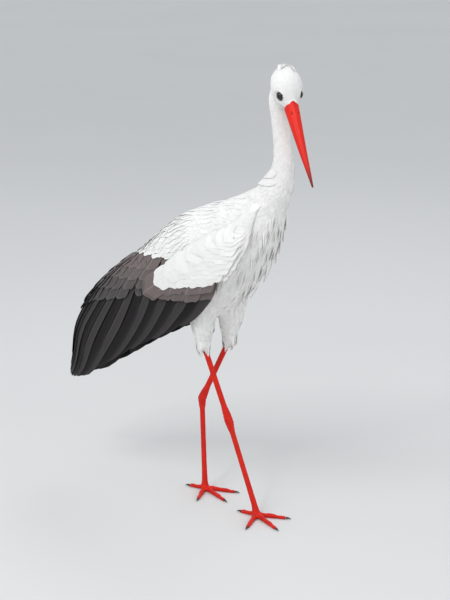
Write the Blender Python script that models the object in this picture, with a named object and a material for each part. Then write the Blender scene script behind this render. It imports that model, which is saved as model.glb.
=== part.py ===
"""White stork, a still, life-size model: it stands in mid-stride with its neck up and its bill down.

Own frame: the bird heads along +X, its left side is +Y, +Z is up, and its soles stand on Z = 0. At the
end the whole bird is slid along the floor so that the middle of its outline in plan is the origin.
"""

from math import cos, pi, radians, sin, sqrt

import bmesh
import bpy
import numpy as np
from mathutils import Matrix, Vector

MM = 0.001
GAP = 0.0004                     # clear space between neighbouring solids
SIDES = {"left": 1.0, "right": -1.0}

# ---- spine: the feathered outline of neck and trunk, from the skull to the rump ------------------
# One row per station, in millimetres: x, y, z of the centre, then half width, half depth towards the back,
# half depth towards the breast.
SPINE = [
    (173, -7, 985, 18, 17, 17),
    (165, -4, 947, 22.5, 22, 23),
    (167, 0, 900, 21.5, 22, 22),
    (173, 0, 852, 22, 22.5, 22.5),
    (176, 0, 806, 26, 26.5, 26),
    (167, 0, 764, 34, 36, 34),
    (147, 0, 726, 45, 50, 44),
    (112, 0, 680, 63, 73, 70),
    (68, 0, 637, 81, 93, 96),
    (15, 0, 593, 93, 110, 115),
    (-51, 0, 543, 97, 112, 119),
    (-121, 0, 494, 88, 101, 98),
    (-188, 0, 443, 62, 66, 58),
    (-232, 0, 407, 38, 30, 24),
]
NECK_TOP = 1.45                  # stations at which the whole is parted
NECK_BASE = 5.6
RUMP = 12.75
SHOULDERS = 6                    # station of SPINE at which the table of the wing bed starts
NECK_TURN_END = 3.0              # station down to which the neck turns with the head

# ---- wing bed: the surface the folded wings lie on; it follows the trunk, then runs past the tail ---
# x, y, z of the centre, half width, half depth up, half depth down; the first rows match SPINE.
WING_BED = SPINE[SHOULDERS:SHOULDERS + 4] + [
    (-51, 0, 543, 97, 112, 119),
    (-121, 0, 494, 90, 106, 104),
    (-188, 0, 443, 78, 108, 88),
    (-254, 0, 389, 67, 105, 72),
    (-320, 0, 328, 54, 90, 56),
    (-372, 0, 272, 37, 46, 37),
    (-418, 0, 224, 14, 9, 9),
]
BED_CLEARANCE = 0.0016
BED_FLARE = 0.55                 # how upright the bed's walls hang below its widest line, 0 to 1

# ---- wings ---------------------------------------------------------------------------------------
# Angles go round the bed from the middle of the back (0) to the middle of the belly (180 degrees).
TOP_EDGE = 1.6                   # degrees from the back's middle line where the two wings meet
SCAPULAR_EDGE = 77.0             # degrees, lower edge of the scapular panel and upper edge of the coverts
LOWER_EDGE = [76, 100, 116, 124, 132, 145, 148, 146, 142, 135, 125]    # degrees, one for each row
COVERTS_START = 0.9              # rows of WING_BED
SCAPULAR_START = 3.0
COVERTS_END = {"top": 8.2, "scapular": 5.3, "low": 3.4}   # rows where the flight feathers begin
WING_TIP = 9.93
COVERTS_DEPTH = 0.011
SCAPULAR_DEPTH = 0.008
FLIGHT_DEPTH = 0.007
EDGE_DEPTH = 0.0012              # feathers' thickness along a panel's free edges
EDGE_TAPER = {"front": 0.18, "side": 0.16, "rear": 0.12}   # shares of a panel over which its edges thin out
COVERTS_BOW = 0.9                # rows by which the corners of the coverts' front lie behind its middle
SHOULDER_EDGE = 82.0             # degrees, upper edge of the coverts at their front
SHOULDER_RUN = 1.6               # rows over which that edge rises to the scapulars
SCAPULAR_SLANT = 0.5             # rows by which the scapulars' front edge slants back
BORDER_ROW = 5.0                 # row from which the search for the flight feathers' border starts
BORDER_STEPS = 24
PANEL_STEP = 0.012               # slit between panels, in rows
PANEL_SLIT = 0.6                 # and in degrees

# ---- tail ----------------------------------------------------------------------------------------
TAIL_LENGTH = 0.150
TAIL_ROOT = (0.0335, 0.0135)     # half width and half depth where it leaves the rump
TAIL_TIP = (0.040, 0.0022)
TAIL_DROP = 0.006                # how far its tip hangs below the rump's line
TAIL_ROUND_FROM = 0.86           # share of its length where its end starts to round off
TAIL_END_WIDTH = 0.33            # share of its width left at the very end

# ---- head and bill, in the head's own frame: forward along the bill, left, and up through the crown ---
HEAD_CENTRE = (0.1925, -0.014, 0.9740)
HEAD_TURN = -35.0                # degrees about Z from the bird's heading, to its right
HEAD_PITCH = 52.0                # degrees that the bill points down
HEAD_ROLL = 4.0                  # degrees about the bill's own line
# forward, up, half width, height above and below the line of the head's sections, in millimetres
HEAD_SECTIONS = [
    (-49, -1, 8, 7, 8),
    (-43, 0, 19, 18, 20),
    (-29, 1, 30, 27, 32),
    (-8, 1, 35, 31, 41),
    (11, 0, 34.5, 30, 40),
    (26, -2, 29, 25.5, 32),
    (37, -3.5, 22, 21.5, 24.5),
    (47, -5, 16.6, 18.6, 18),
]
BILL_BASE = 0.047
BILL_LENGTH = 0.190
BILL_AXIS_UP = -0.005
BILL_HALF_WIDTH = 0.0152
BILL_UPPER_HEIGHT = 0.0185
BILL_LOWER_HEIGHT = 0.0145
BILL_TIP_WIDTH = 0.10            # shares of the base's width and height left at the tip
BILL_TIP_HEIGHT = 0.12
BILL_TAPER = {"width": 0.92, "upper": 1.05, "lower": 1.25}      # powers of the taper towards the tip
BILL_FULLNESS = 0.85             # below 1 the section is fuller than an ellipse
BILL_UPTURN = 0.004
BILL_UPTURN_FROM = 0.45          # share of the length where the bill starts to turn up
LOWER_BILL_REACH = 0.985         # share of the upper mandible's length
EYE_RADIUS = 0.0095
EYE_PLACE = (0.022, 0.0212, 0.005)   # forward, sideways, up
POLE = 0.12                      # radians from a ball's pole to the flat that closes it

# ---- legs ----------------------------------------------------------------------------------------
LEG_APART = 0.034                # half the distance between the legs' planes
FOOT_X = {"left": -0.058, "right": 0.134}
FOOT_JOINT_HEIGHT = 0.012
TARSUS_LENGTH = 0.212
TARSUS_LEAN = {"left": 2.2, "right": 20.7}       # degrees, the ankle behind the foot
THIGH_END = {"left": (0.008, 0.372), "right": (-0.008, 0.372)}      # x, z where the bare shank comes out
THIGH_ROOT = {"left": (0.022, 0.515), "right": (-0.020, 0.515)}
THIGH_ROOT_RADIUS = 0.041
THIGH_END_RADIUS = 0.0135
BELLY_CLEARANCE = 0.0008         # between the belly and a thigh
SHANK_RADIUS = 0.0068
TARSUS_RADIUS = 0.0066
ANKLE_RADIUS = 0.0108
ANKLE_FROM = 0.74                # share of the bare shank where it starts to swell to the ankle
ANKLE_SEAM = 0.15                # how far above the ankle's middle the shank ends, in ankle radii
SHANK_FLATNESS = 0.86            # width as a share of depth
TARSUS_FLATNESS = 0.84
TARSUS_SWELL = 0.0008            # extra radius where the tarsus meets the foot
FOOT_TOP = 0.075                 # share of the tarsus that belongs to the foot
STEM_RADII = (0.0098, 0.0088, 0.0076)     # of the foot's stem, from the pad upwards
STEM_FLATNESS = 0.9
PAD_SINK = 0.002

# ---- feet: direction in degrees from the heading (to the left is positive) and length to the toe's tip ---
TOES = {
    "left": {"outer": (16, 0.074), "middle": (-24, 0.088), "inner": (-68, 0.068), "hallux": (-172, 0.040)},
    "right": {"outer": (-72, 0.074), "middle": (-27, 0.088), "inner": (20, 0.068), "hallux": (-178, 0.040)},
}
TOE_RADIUS = (0.0064, 0.0044)    # at the root and at the tip
KNUCKLES = {"outer": 4, "middle": 3, "inner": 2, "hallux": 1}
KNUCKLE_SWELL = 0.0007
CLAW_LENGTH = 0.0125
CLAW_ROOT = 0.72                 # share of the toe tip's radius
CLAW_TIP = 0.18                  # share of the claw root's radius
CLAW_TIP_HEIGHT = 0.0016
CLAW_ARCH = 0.0008
SOLE_SINK = 0.0011               # how much of each pad's round underside is flattened off

SHARP_ANGLE = 50                 # degrees, edges above it are shaded sharp
MERGE = 1e-6                     # points nearer than this are one
BODY_CUT = 0.2                   # side of the cube that keeps a thigh on its own side
FLOOR_CUT = 0.4                  # side of the cube that flattens the soles

# colour and roughness
MATERIALS = {
    "white_plumage": ((0.86, 0.85, 0.82), 0.85),
    "grey_coverts": ((0.16, 0.13, 0.125), 0.8),
    "black_flight_feathers": ((0.022, 0.020, 0.020), 0.55),
    "red_bill": ((0.62, 0.055, 0.02), 0.4),
    "red_leg_skin": ((0.60, 0.045, 0.018), 0.5),
    "dark_claw": ((0.03, 0.026, 0.024), 0.45),
    "dark_eye": ((0.012, 0.008, 0.006), 0.08),
}


# ---- curves --------------------------------------------------------------------------------------
def read_curve(rows, place):
    """Value and rate of change of the smooth curve through numbered rows, at a fractional row."""
    rows = np.asarray(rows, dtype=float)
    last = len(rows) - 1
    i = int(min(max(place, 0.0), last - 1e-9))
    t = place - i
    here, there = rows[i], rows[i + 1]
    before = rows[i - 1] if i > 0 else 2 * here - there
    after = rows[i + 2] if i + 2 <= last else 2 * there - here
    leave, arrive = (there - before) / 2, (after - here) / 2
    a = 2 * here - 2 * there + leave + arrive
    b = -3 * here + 3 * there - 2 * leave - arrive
    return ((a * t + b) * t + leave) * t + here, (3 * a * t + 2 * b) * t + leave


def mix(a, b, t):
    return a + (b - a) * t


def ease(t):
    t = min(max(t, 0.0), 1.0)
    return t * t * (3 - 2 * t)


def station(rows, place, turn=0.0):
    """Frame of a row table at a place: centre, left, dorsal and backward way, three half sizes."""
    value, rate = read_curve(rows, place)
    centre = Vector(value[:3]) * MM
    back = Vector(rate[:3]).normalized()
    left = Matrix.Rotation(radians(turn), 3, "Z") @ Vector((0, 1, 0))
    left = (left - back * left.dot(back)).normalized()
    return centre, left, left.cross(back), back, [v * MM for v in value[3:6]]


# ---- meshes --------------------------------------------------------------------------------------
def material(name):
    """The named material, made on first use."""
    made = bpy.data.materials.get(name)
    if made is None:
        colour, roughness = MATERIALS[name]
        made = bpy.data.materials.new(name)
        made.use_nodes = True
        shader = made.node_tree.nodes["Principled BSDF"]
        shader.inputs["Base Color"].default_value = (*colour, 1)
        shader.inputs["Roughness"].default_value = roughness
        made.diffuse_color = (*colour, 1)
    return made


def add_object(name, points, faces, slot):
    """One closed body whose faces point outwards."""
    mesh = bpy.data.meshes.new(name)
    mesh.from_pydata([tuple(p) for p in points], [], faces)
    shell = bmesh.new()
    shell.from_mesh(mesh)
    bmesh.ops.remove_doubles(shell, verts=shell.verts, dist=MERGE)
    bmesh.ops.recalc_face_normals(shell, faces=shell.faces)
    shell.to_mesh(mesh)
    shell.free()
    thing = bpy.data.objects.new(name, mesh)
    bpy.context.scene.collection.objects.link(thing)
    finish_surface(thing, slot)
    return thing


def finish_surface(thing, slot):
    thing.data.materials.clear()
    thing.data.materials.append(material(slot))
    thing.data.shade_smooth()
    thing.data.set_sharp_from_angle(angle=radians(SHARP_ANGLE))


def loft(name, rings, slot):
    """A body through rings of as many points each, closed by a flat face at either end."""
    count = len(rings[0])
    points = [p for ring in rings for p in ring]
    faces = []
    for i in range(len(rings) - 1):
        for j in range(count):
            k = (j + 1) % count
            near, far = i * count, (i + 1) * count
            faces.append((near + j, near + k, far + k, far + j))
    faces.append(tuple(range(count))[::-1])
    faces.append(tuple((len(rings) - 1) * count + j for j in range(count)))
    return add_object(name, points, faces, slot)


def boolean(target, tool, operation):
    """Combine two bodies into the first and drop the second."""
    step = target.modifiers.new("cut", "BOOLEAN")
    step.operation = operation
    step.object = tool
    step.solver = "EXACT"
    tool.hide_render = True
    tool.display_type = "WIRE"
    bpy.context.view_layer.update()
    graph = bpy.context.evaluated_depsgraph_get()
    result = bpy.data.meshes.new_from_object(target.evaluated_get(graph))
    target.modifiers.clear()
    slot = target.data.materials[0].name
    target.data = result
    result.name = target.name
    finish_surface(target, slot)
    bpy.data.objects.remove(tool)
    return target


def ellipse_ring(centre, left, up, half_width, half_up, half_down, count):
    """Ring of an egg-shaped section, starting at its top."""
    ring = []
    for j in range(count):
        angle = 2 * pi * j / count
        height = (half_up if cos(angle) > 0 else half_down) * cos(angle)
        ring.append(centre + left * (half_width * sin(angle)) + up * height)
    return ring


def block(size, centre):
    """A cube to cut with."""
    bpy.ops.mesh.primitive_cube_add(size=size, location=centre)
    return bpy.context.object


def tube(name, path, radii, slot):
    """Slightly flat-sided body along a list of points, with a radius at each."""
    rings = []
    for i, centre in enumerate(path):
        ahead = (path[min(i + 1, len(path) - 1)] - path[max(i - 1, 0)]).normalized()
        side = Vector((0, 1, 0))
        side = (side - ahead * side.dot(ahead)).normalized()
        width = radii[i] * SHANK_FLATNESS
        rings.append(ellipse_ring(centre, side, side.cross(ahead), width, radii[i], radii[i], 12))
    return loft(name, rings, slot)


# ---- trunk, neck, tail ---------------------------------------------------------------------------
def spine_turn(place):
    """The neck turns with the head towards its top."""
    return HEAD_TURN * (1 - ease(place / NECK_TURN_END))


def spine_piece(name, start, end, count, steps, grow=0.0):
    """Length of the spine's outline between two stations."""
    rings = []
    for place in np.linspace(start, end, steps):
        centre, left, up, _, (width, top, bottom) = station(SPINE, place, spine_turn(place))
        rings.append(ellipse_ring(centre, left, up, width + grow, top + grow, bottom + grow, count))
    return loft(name, rings, "white_plumage")


def gap_in_stations(place):
    """Half a gap, as a share of the way between two stations."""
    rate = Vector(read_curve(SPINE, place)[1][:3]) * MM
    return 0.5 * GAP / rate.length


def build_neck_and_trunk():
    top, base = gap_in_stations(NECK_TOP), gap_in_stations(NECK_BASE)
    spine_piece("neck", NECK_TOP + top, NECK_BASE - base, 22, 15)
    spine_piece("trunk", NECK_BASE + base, RUMP - gap_in_stations(RUMP), 30, 17)


def build_tail():
    """Flat fan of tail feathers from the rump's end, closed over by the wings."""
    centre, left, up, back, _ = station(SPINE, RUMP + gap_in_stations(RUMP))
    steps = 7
    rings = []
    for i in range(steps):
        t = i / (steps - 1)
        rounding = max(t - TAIL_ROUND_FROM, 0) / (1 - TAIL_ROUND_FROM)
        width = mix(TAIL_ROOT[0], TAIL_TIP[0], ease(t)) * sqrt(1 - (1 - TAIL_END_WIDTH ** 2) * rounding ** 2)
        depth = mix(TAIL_ROOT[1], TAIL_TIP[1], t ** 0.6)
        middle = centre + back * (TAIL_LENGTH * t) - up * (TAIL_DROP * t * t)
        rings.append(ellipse_ring(middle, left, up, width, depth, depth, 16))
    loft("tail", rings, "white_plumage")


# ---- wings ---------------------------------------------------------------------------------------
def bed_point(side, place, angle, lift):
    """Point over the wing bed; lift is how far above it."""
    centre, left, up, _, (width, top, bottom) = station(WING_BED, place)
    s, c = sin(radians(angle)), cos(radians(angle))
    outward = s if c > 0 else mix(s, 1.0, BED_FLARE)
    depth = top if c > 0 else bottom
    lift += BED_CLEARANCE
    return centre + left * (side * (width * outward + lift * outward)) + up * ((depth + lift) * c)


def lower_edge(place):
    """Angle of the wing's lower edge at a row."""
    return float(read_curve([[a] for a in LOWER_EDGE], place)[0][0])


def grid_faces(along, across):
    """Faces of a plate made of an outer grid of points, then an inner one of the same size."""
    wide = across + 1
    shift = wide * (along + 1)
    faces = []
    for i in range(along):
        for j in range(across):
            a, b, c, d = i * wide + j, i * wide + j + 1, (i + 1) * wide + j + 1, (i + 1) * wide + j
            faces.append((a, b, c, d))
            faces.append((shift + d, shift + c, shift + b, shift + a))
    rim = list(range(wide))
    rim += [i * wide + across for i in range(1, along + 1)]
    rim += [along * wide + j for j in range(across - 1, -1, -1)]
    rim += [i * wide for i in range(along - 1, 0, -1)]
    for a, b in zip(rim, rim[1:] + rim[:1]):
        faces.append((b, a, shift + a, shift + b))
    return faces


def panel_depth(u, v, depth):
    """Thickness at shares u along and v across a panel, thin along its free edges."""
    front, side, rear = EDGE_TAPER["front"], EDGE_TAPER["side"], EDGE_TAPER["rear"]
    crown = min(ease(u / front), ease((1 - v) / side), ease(v / side), ease((1 - u) / rear))
    return mix(EDGE_DEPTH, depth, crown)


def wing_panel(name, side, begin, end, top, low, depth, slot, along, across):
    """Curved plate on the bed; begin and end give its rows, top and low its angles."""
    outer, inner = [], []
    for i in range(along + 1):
        u = i / along
        for j in range(across + 1):
            v = j / across
            place = mix(begin(v), end(v), u)
            angle = mix(top(place), low(place), v)
            outer.append(bed_point(side, place, angle, panel_depth(u, v, depth)))
            inner.append(bed_point(side, place, angle, 0.0))
    return add_object(name, outer + inner, grid_faces(along, across), slot)


def coverts_border(v):
    """Row where the coverts end, at a share across them."""
    return mix(COVERTS_END["scapular"], COVERTS_END["low"], v)


def scapular_border(v):
    """Row where the scapulars end, at a share across them."""
    return mix(COVERTS_END["top"], COVERTS_END["scapular"], v)


def coverts_front(v):
    return COVERTS_START + COVERTS_BOW * (2 * v - 1) ** 2


def coverts_top(place):
    rise = ease((place - COVERTS_START) / SHOULDER_RUN)
    return mix(SHOULDER_EDGE, SCAPULAR_EDGE, rise) + PANEL_SLIT


def flight_border(v):
    """Row where the flight feathers begin, at a share across the whole wing, closed in on step by step."""
    place = BORDER_ROW
    for _ in range(BORDER_STEPS):
        low = lower_edge(place)
        angle = mix(TOP_EDGE, low, v)
        if angle < SCAPULAR_EDGE:
            found = scapular_border((angle - TOP_EDGE) / (SCAPULAR_EDGE - TOP_EDGE))
        else:
            found = coverts_border((angle - SCAPULAR_EDGE) / (low - SCAPULAR_EDGE))
        place = mix(place, found, 0.5)
    return place


def build_wing(side_name):
    """Folded wing of three plates that lie edge to edge."""
    side = SIDES[side_name]
    wing_panel(f"wing_{side_name}_coverts", side,
               coverts_front, lambda v: coverts_border(v) - PANEL_STEP,
               coverts_top, lower_edge,
               COVERTS_DEPTH, "white_plumage", along=9, across=6)
    wing_panel(f"wing_{side_name}_scapulars", side,
               lambda v: SCAPULAR_START + SCAPULAR_SLANT * v, lambda v: scapular_border(v) - PANEL_STEP,
               lambda p: TOP_EDGE, lambda p: SCAPULAR_EDGE - PANEL_SLIT,
               SCAPULAR_DEPTH, "grey_coverts", along=9, across=8)
    wing_panel(f"wing_{side_name}_flight_feathers", side,
               lambda v: flight_border(v) + PANEL_STEP, lambda v: WING_TIP,
               lambda p: TOP_EDGE, lower_edge,
               FLIGHT_DEPTH, "black_flight_feathers", along=14, across=11)


# ---- head and bill -------------------------------------------------------------------------------
def head_frame():
    """Matrix from the head's own frame (forward, left, up) to the bird's."""
    turn = Matrix.Rotation(radians(HEAD_TURN), 4, "Z")
    pitch = Matrix.Rotation(radians(HEAD_PITCH), 4, "Y")
    roll = Matrix.Rotation(radians(HEAD_ROLL), 4, "X")
    return Matrix.Translation(HEAD_CENTRE) @ turn @ pitch @ roll


def ball(name, centre, radius, slot, rings=8, count=14):
    """Round ball with small flats at its poles."""
    made = []
    for i in range(rings):
        angle = mix(POLE, pi - POLE, i / (rings - 1))
        middle = Vector(centre) + Vector((0, 0, radius * cos(angle)))
        r = radius * sin(angle)
        made.append([middle + Vector((r * cos(2 * pi * j / count), r * sin(2 * pi * j / count), 0))
                     for j in range(count)])
    return loft(name, made, slot)


def build_head(frame):
    """Head with its sockets, in one piece with the very top of the neck."""
    rings = []
    steps = 12
    for place in np.linspace(0, len(HEAD_SECTIONS) - 1, steps):
        forward, up, width, crown, throat = read_curve(HEAD_SECTIONS, place)[0] * MM
        rings.append(ellipse_ring(Vector((forward, 0, up)), Vector((0, 1, 0)), Vector((0, 0, 1)),
                                  width, crown, throat, 20))
    head = loft("head", [[frame @ p for p in ring] for ring in rings], "white_plumage")
    stub = spine_piece("stub", 0.0, NECK_TOP - gap_in_stations(NECK_TOP), 18, 4)
    boolean(head, stub, "UNION")
    for side_name, side in SIDES.items():
        forward, out, up = EYE_PLACE
        centre = frame @ Vector((forward, side * out, up))
        boolean(head, ball("socket", centre, EYE_RADIUS + GAP, "dark_eye"), "DIFFERENCE")
        ball(f"eye_{side_name}", centre, EYE_RADIUS, "dark_eye")


def bill_ring(t, upper):
    """Half section of one mandible: flat where the two meet, round outside."""
    taper = 1 - t
    width = BILL_HALF_WIDTH * mix(BILL_TIP_WIDTH, 1, taper ** BILL_TAPER["width"])
    full, power = BILL_UPPER_HEIGHT, BILL_TAPER["upper"]
    if not upper:
        full, power = BILL_LOWER_HEIGHT, BILL_TAPER["lower"]
    height = full * mix(BILL_TIP_HEIGHT, 1, taper ** power)
    middle = BILL_AXIS_UP + BILL_UPTURN * ease((t - BILL_UPTURN_FROM) / (1 - BILL_UPTURN_FROM))
    forward = BILL_BASE + GAP + BILL_LENGTH * t
    sign = 1.0 if upper else -1.0
    count = 9
    ring = []
    for j in range(count):
        angle = pi * j / (count - 1)
        rise = sign * (0.5 * GAP + height * sin(angle) ** BILL_FULLNESS)
        ring.append(Vector((forward, width * cos(angle), middle + rise)))
    return ring


def build_bill(frame):
    stops = [0, 0.06, 0.15, 0.28, 0.42, 0.57, 0.72, 0.86, 0.95, 1.0]
    for name, upper, reach in (("bill_upper", True, 1.0), ("bill_lower", False, LOWER_BILL_REACH)):
        rings = [[frame @ p for p in bill_ring(reach * t, upper)] for t in stops]
        loft(name, rings, "red_bill")


# ---- legs ----------------------------------------------------------------------------------------
def leg_joints(side_name):
    """Foot joint, ankle and the point where the bare shank leaves the feathers."""
    y = SIDES[side_name] * LEG_APART
    foot = Vector((FOOT_X[side_name], y, FOOT_JOINT_HEIGHT))
    lean = radians(TARSUS_LEAN[side_name])
    ankle = foot + Vector((-sin(lean), 0, cos(lean))) * TARSUS_LENGTH
    x, z = THIGH_END[side_name]
    return foot, ankle, Vector((x, y, z))


def build_thigh(side_name):
    """Feathered thigh, cut to the belly and kept off its twin."""
    side = SIDES[side_name]
    _, ankle, end = leg_joints(side_name)
    x, z = THIGH_ROOT[side_name]
    root = Vector((x, side * LEG_APART, z))
    thigh_way, shank_way = (end - root).normalized(), (ankle - end).normalized()
    steps = 8
    rings = []
    for i in range(steps):
        t = i / (steps - 1)
        radius = mix(THIGH_ROOT_RADIUS, THIGH_END_RADIUS, t ** 2)
        ahead = thigh_way.lerp(shank_way, t ** 3).normalized()
        left = Vector((0, 1, 0))
        rings.append(ellipse_ring(root.lerp(end, t), left, left.cross(ahead), radius, radius, radius, 16))
    thigh = loft(f"thigh_{side_name}", rings, "white_plumage")
    boolean(thigh, spine_piece("belly", NECK_BASE, RUMP, 30, 17, grow=BELLY_CLEARANCE), "DIFFERENCE")
    boolean(thigh, block(BODY_CUT, (0, side * 0.5 * (GAP - BODY_CUT), end.z)), "DIFFERENCE")


def build_shank(side_name):
    """Bare lower end of the shank down to the ankle's middle."""
    _, ankle, end = leg_joints(side_name)
    along = (ankle - end).normalized()
    start = end + along * GAP
    stop = ankle - along * (ANKLE_RADIUS * ANKLE_SEAM)
    length = (stop - start).length
    path, radii = [], []
    for t in (0, 0.25, 0.55, 0.78, 0.88, 0.94, 1.0):
        path.append(start + along * (length * t))
        radii.append(mix(SHANK_RADIUS, ANKLE_RADIUS, ease((t - ANKLE_FROM) / (1 - ANKLE_FROM))))
    tube(f"shank_{side_name}", path, radii, "red_leg_skin")


def build_tarsus(side_name):
    """Long bare bone of the foot, from the ankle's middle to the top of the toes' stem."""
    foot, ankle, end = leg_joints(side_name)
    shank = (ankle - end).normalized()
    start = ankle + shank * (GAP - ANKLE_RADIUS * ANKLE_SEAM)
    top = foot.lerp(ankle, FOOT_TOP)
    straight = (top - start).normalized()
    side = Vector((0, 1, 0))
    rings = []
    for i, t in enumerate((0, 0.035, 0.075, 0.14, 0.4, 0.7, 0.9, 1.0)):
        radius = mix(ANKLE_RADIUS, TARSUS_RADIUS, ease(t / 0.15)) + TARSUS_SWELL * ease((t - 0.8) / 0.2)
        ahead = shank.lerp(straight, min(1.0, i / 2)).normalized()
        width = radius * TARSUS_FLATNESS
        rings.append(ellipse_ring(start.lerp(top, t), side, side.cross(ahead), width, radius, radius, 12))
    loft(f"tarsus_{side_name}", rings, "red_leg_skin")


def toe_path(side_name, toe):
    """Points and radii along a toe that lies on the floor, thicker at its knuckles."""
    angle, length = TOES[side_name][toe]
    foot = leg_joints(side_name)[0]
    forward = Vector((cos(radians(angle)), sin(radians(angle)), 0))
    steps = 8
    path, radii = [], []
    for i in range(steps):
        t = i / (steps - 1)
        radius = mix(TOE_RADIUS[0], TOE_RADIUS[1], t)
        if 0 < i < steps - 1:
            radius += KNUCKLE_SWELL * cos(2 * pi * KNUCKLES[toe] * t)
        spot = Vector((foot.x, foot.y, 0)) + forward * (length * t)
        path.append(spot + Vector((0, 0, radius - SOLE_SINK)))
        radii.append(radius)
    return path, radii, forward


def toe_tube(name, path, radii, forward, slot):
    """Body of upright rings along a toe or a claw."""
    side = Vector((0, 0, 1)).cross(forward)
    rings = []
    for centre, radius in zip(path, radii):
        rings.append(ellipse_ring(centre, side, Vector((0, 0, 1)), radius, radius, radius, 8))
    return loft(name, rings, slot)


def build_foot(side_name):
    """Four toes and their shared pad as one body, with a flat sole at the floor's level."""
    foot, ankle, _ = leg_joints(side_name)
    up = (ankle - foot).normalized()
    tip = foot + up * (TARSUS_LENGTH * FOOT_TOP - GAP)
    pad = Vector((foot.x, foot.y, TOE_RADIUS[0]))
    stem = [pad - Vector((0, 0, PAD_SINK)), pad.lerp(tip, 0.35), pad.lerp(tip, 0.7), tip]
    side = Vector((0, 1, 0))
    rings = []
    for centre, radius in zip(stem, (*STEM_RADII, TARSUS_RADIUS + TARSUS_SWELL)):
        width = radius * STEM_FLATNESS
        rings.append(ellipse_ring(centre, side, side.cross(-up), width, radius, radius, 12))
    body = loft(f"foot_{side_name}", rings, "red_leg_skin")
    for toe in TOES[side_name]:
        path, radii, forward = toe_path(side_name, toe)
        boolean(body, toe_tube("toe", path, radii, forward, "red_leg_skin"), "UNION")
    boolean(body, block(FLOOR_CUT, (foot.x, foot.y, -FLOOR_CUT / 2)), "DIFFERENCE")


def build_claws(side_name):
    """A curved claw in front of each toe, clear of the floor."""
    for toe in TOES[side_name]:
        path, radii, forward = toe_path(side_name, toe)
        root = path[-1] + forward * GAP
        points, sizes = [], []
        for t in (0, 0.25, 0.5, 0.75, 1.0):
            rise = CLAW_ARCH * sin(pi * t) - (root.z - CLAW_TIP_HEIGHT) * t ** 2
            points.append(root + forward * (CLAW_LENGTH * t) + Vector((0, 0, rise)))
            sizes.append(radii[-1] * CLAW_ROOT * mix(1, CLAW_TIP, t))
        toe_tube(f"claw_{side_name}_{toe}", points, sizes, forward, "dark_claw")


# ---- whole bird ----------------------------------------------------------------------------------
def centre_on_floor():
    """Slide the bird so that its outline's middle in plan is the origin and its soles are at Z = 0."""
    things = [o for o in bpy.data.objects if o.type == "MESH"]
    low = Vector(min(v.co[k] for o in things for v in o.data.vertices) for k in range(3))
    high = Vector(max(v.co[k] for o in things for v in o.data.vertices) for k in range(3))
    shift = Vector((-(low.x + high.x) / 2, -(low.y + high.y) / 2, -low.z))
    for thing in things:
        thing.data.transform(Matrix.Translation(shift))


def build_bird():
    for old in list(bpy.data.objects):
        bpy.data.objects.remove(old)
    build_neck_and_trunk()
    build_tail()
    frame = head_frame()
    build_head(frame)
    build_bill(frame)
    for side_name in SIDES:
        build_wing(side_name)
        build_thigh(side_name)
        build_shank(side_name)
        build_tarsus(side_name)
        build_foot(side_name)
        build_claws(side_name)
    centre_on_floor()


build_bird()
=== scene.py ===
"""White stork: the looks of a still, life-size model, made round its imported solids.

One skin lies under the coat, and every feather is a thin closed vane that follows the lie of the plumage.
Lengths are in metres. The bird heads along +X, its left side is +Y, and it stands on Z = 0.
"""

from itertools import product
from math import cos, dist, pi, radians, sin

import bmesh
import bpy
import numpy as np
from mathutils import Matrix, Vector, noise
from mathutils.bvhtree import BVHTree
from mathutils.kdtree import KDTree


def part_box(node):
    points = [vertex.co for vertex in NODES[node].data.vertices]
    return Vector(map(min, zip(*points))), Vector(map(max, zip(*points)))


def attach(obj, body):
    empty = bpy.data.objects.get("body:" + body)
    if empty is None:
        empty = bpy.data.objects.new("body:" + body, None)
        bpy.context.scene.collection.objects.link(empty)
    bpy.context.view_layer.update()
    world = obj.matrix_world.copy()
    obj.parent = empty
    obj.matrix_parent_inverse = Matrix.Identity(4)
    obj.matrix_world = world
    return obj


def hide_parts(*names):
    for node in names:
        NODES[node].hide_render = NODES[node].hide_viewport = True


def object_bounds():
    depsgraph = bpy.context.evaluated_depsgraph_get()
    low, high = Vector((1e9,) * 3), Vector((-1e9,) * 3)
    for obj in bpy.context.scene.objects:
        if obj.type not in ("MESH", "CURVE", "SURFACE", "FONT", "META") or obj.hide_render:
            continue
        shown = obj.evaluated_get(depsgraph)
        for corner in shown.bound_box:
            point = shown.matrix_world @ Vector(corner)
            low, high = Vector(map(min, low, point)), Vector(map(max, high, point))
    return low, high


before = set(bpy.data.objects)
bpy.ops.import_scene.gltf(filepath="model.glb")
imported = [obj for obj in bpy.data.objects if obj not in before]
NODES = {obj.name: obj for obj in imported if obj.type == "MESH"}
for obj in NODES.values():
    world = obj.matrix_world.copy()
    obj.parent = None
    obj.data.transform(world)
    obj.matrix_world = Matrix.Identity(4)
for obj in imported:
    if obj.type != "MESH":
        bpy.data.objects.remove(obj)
CAD_BOX = [list(corner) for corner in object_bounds()]

MM = 0.001
SIDES = {"left": 1.0, "right": -1.0}
TOES = ("outer", "middle", "inner", "hallux")
ORIGIN = Vector((0.0559, 0.0037, 0.0))  # the bird's own origin, from which its tables are measured
RANDOM = np.random.default_rng(7)

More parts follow.
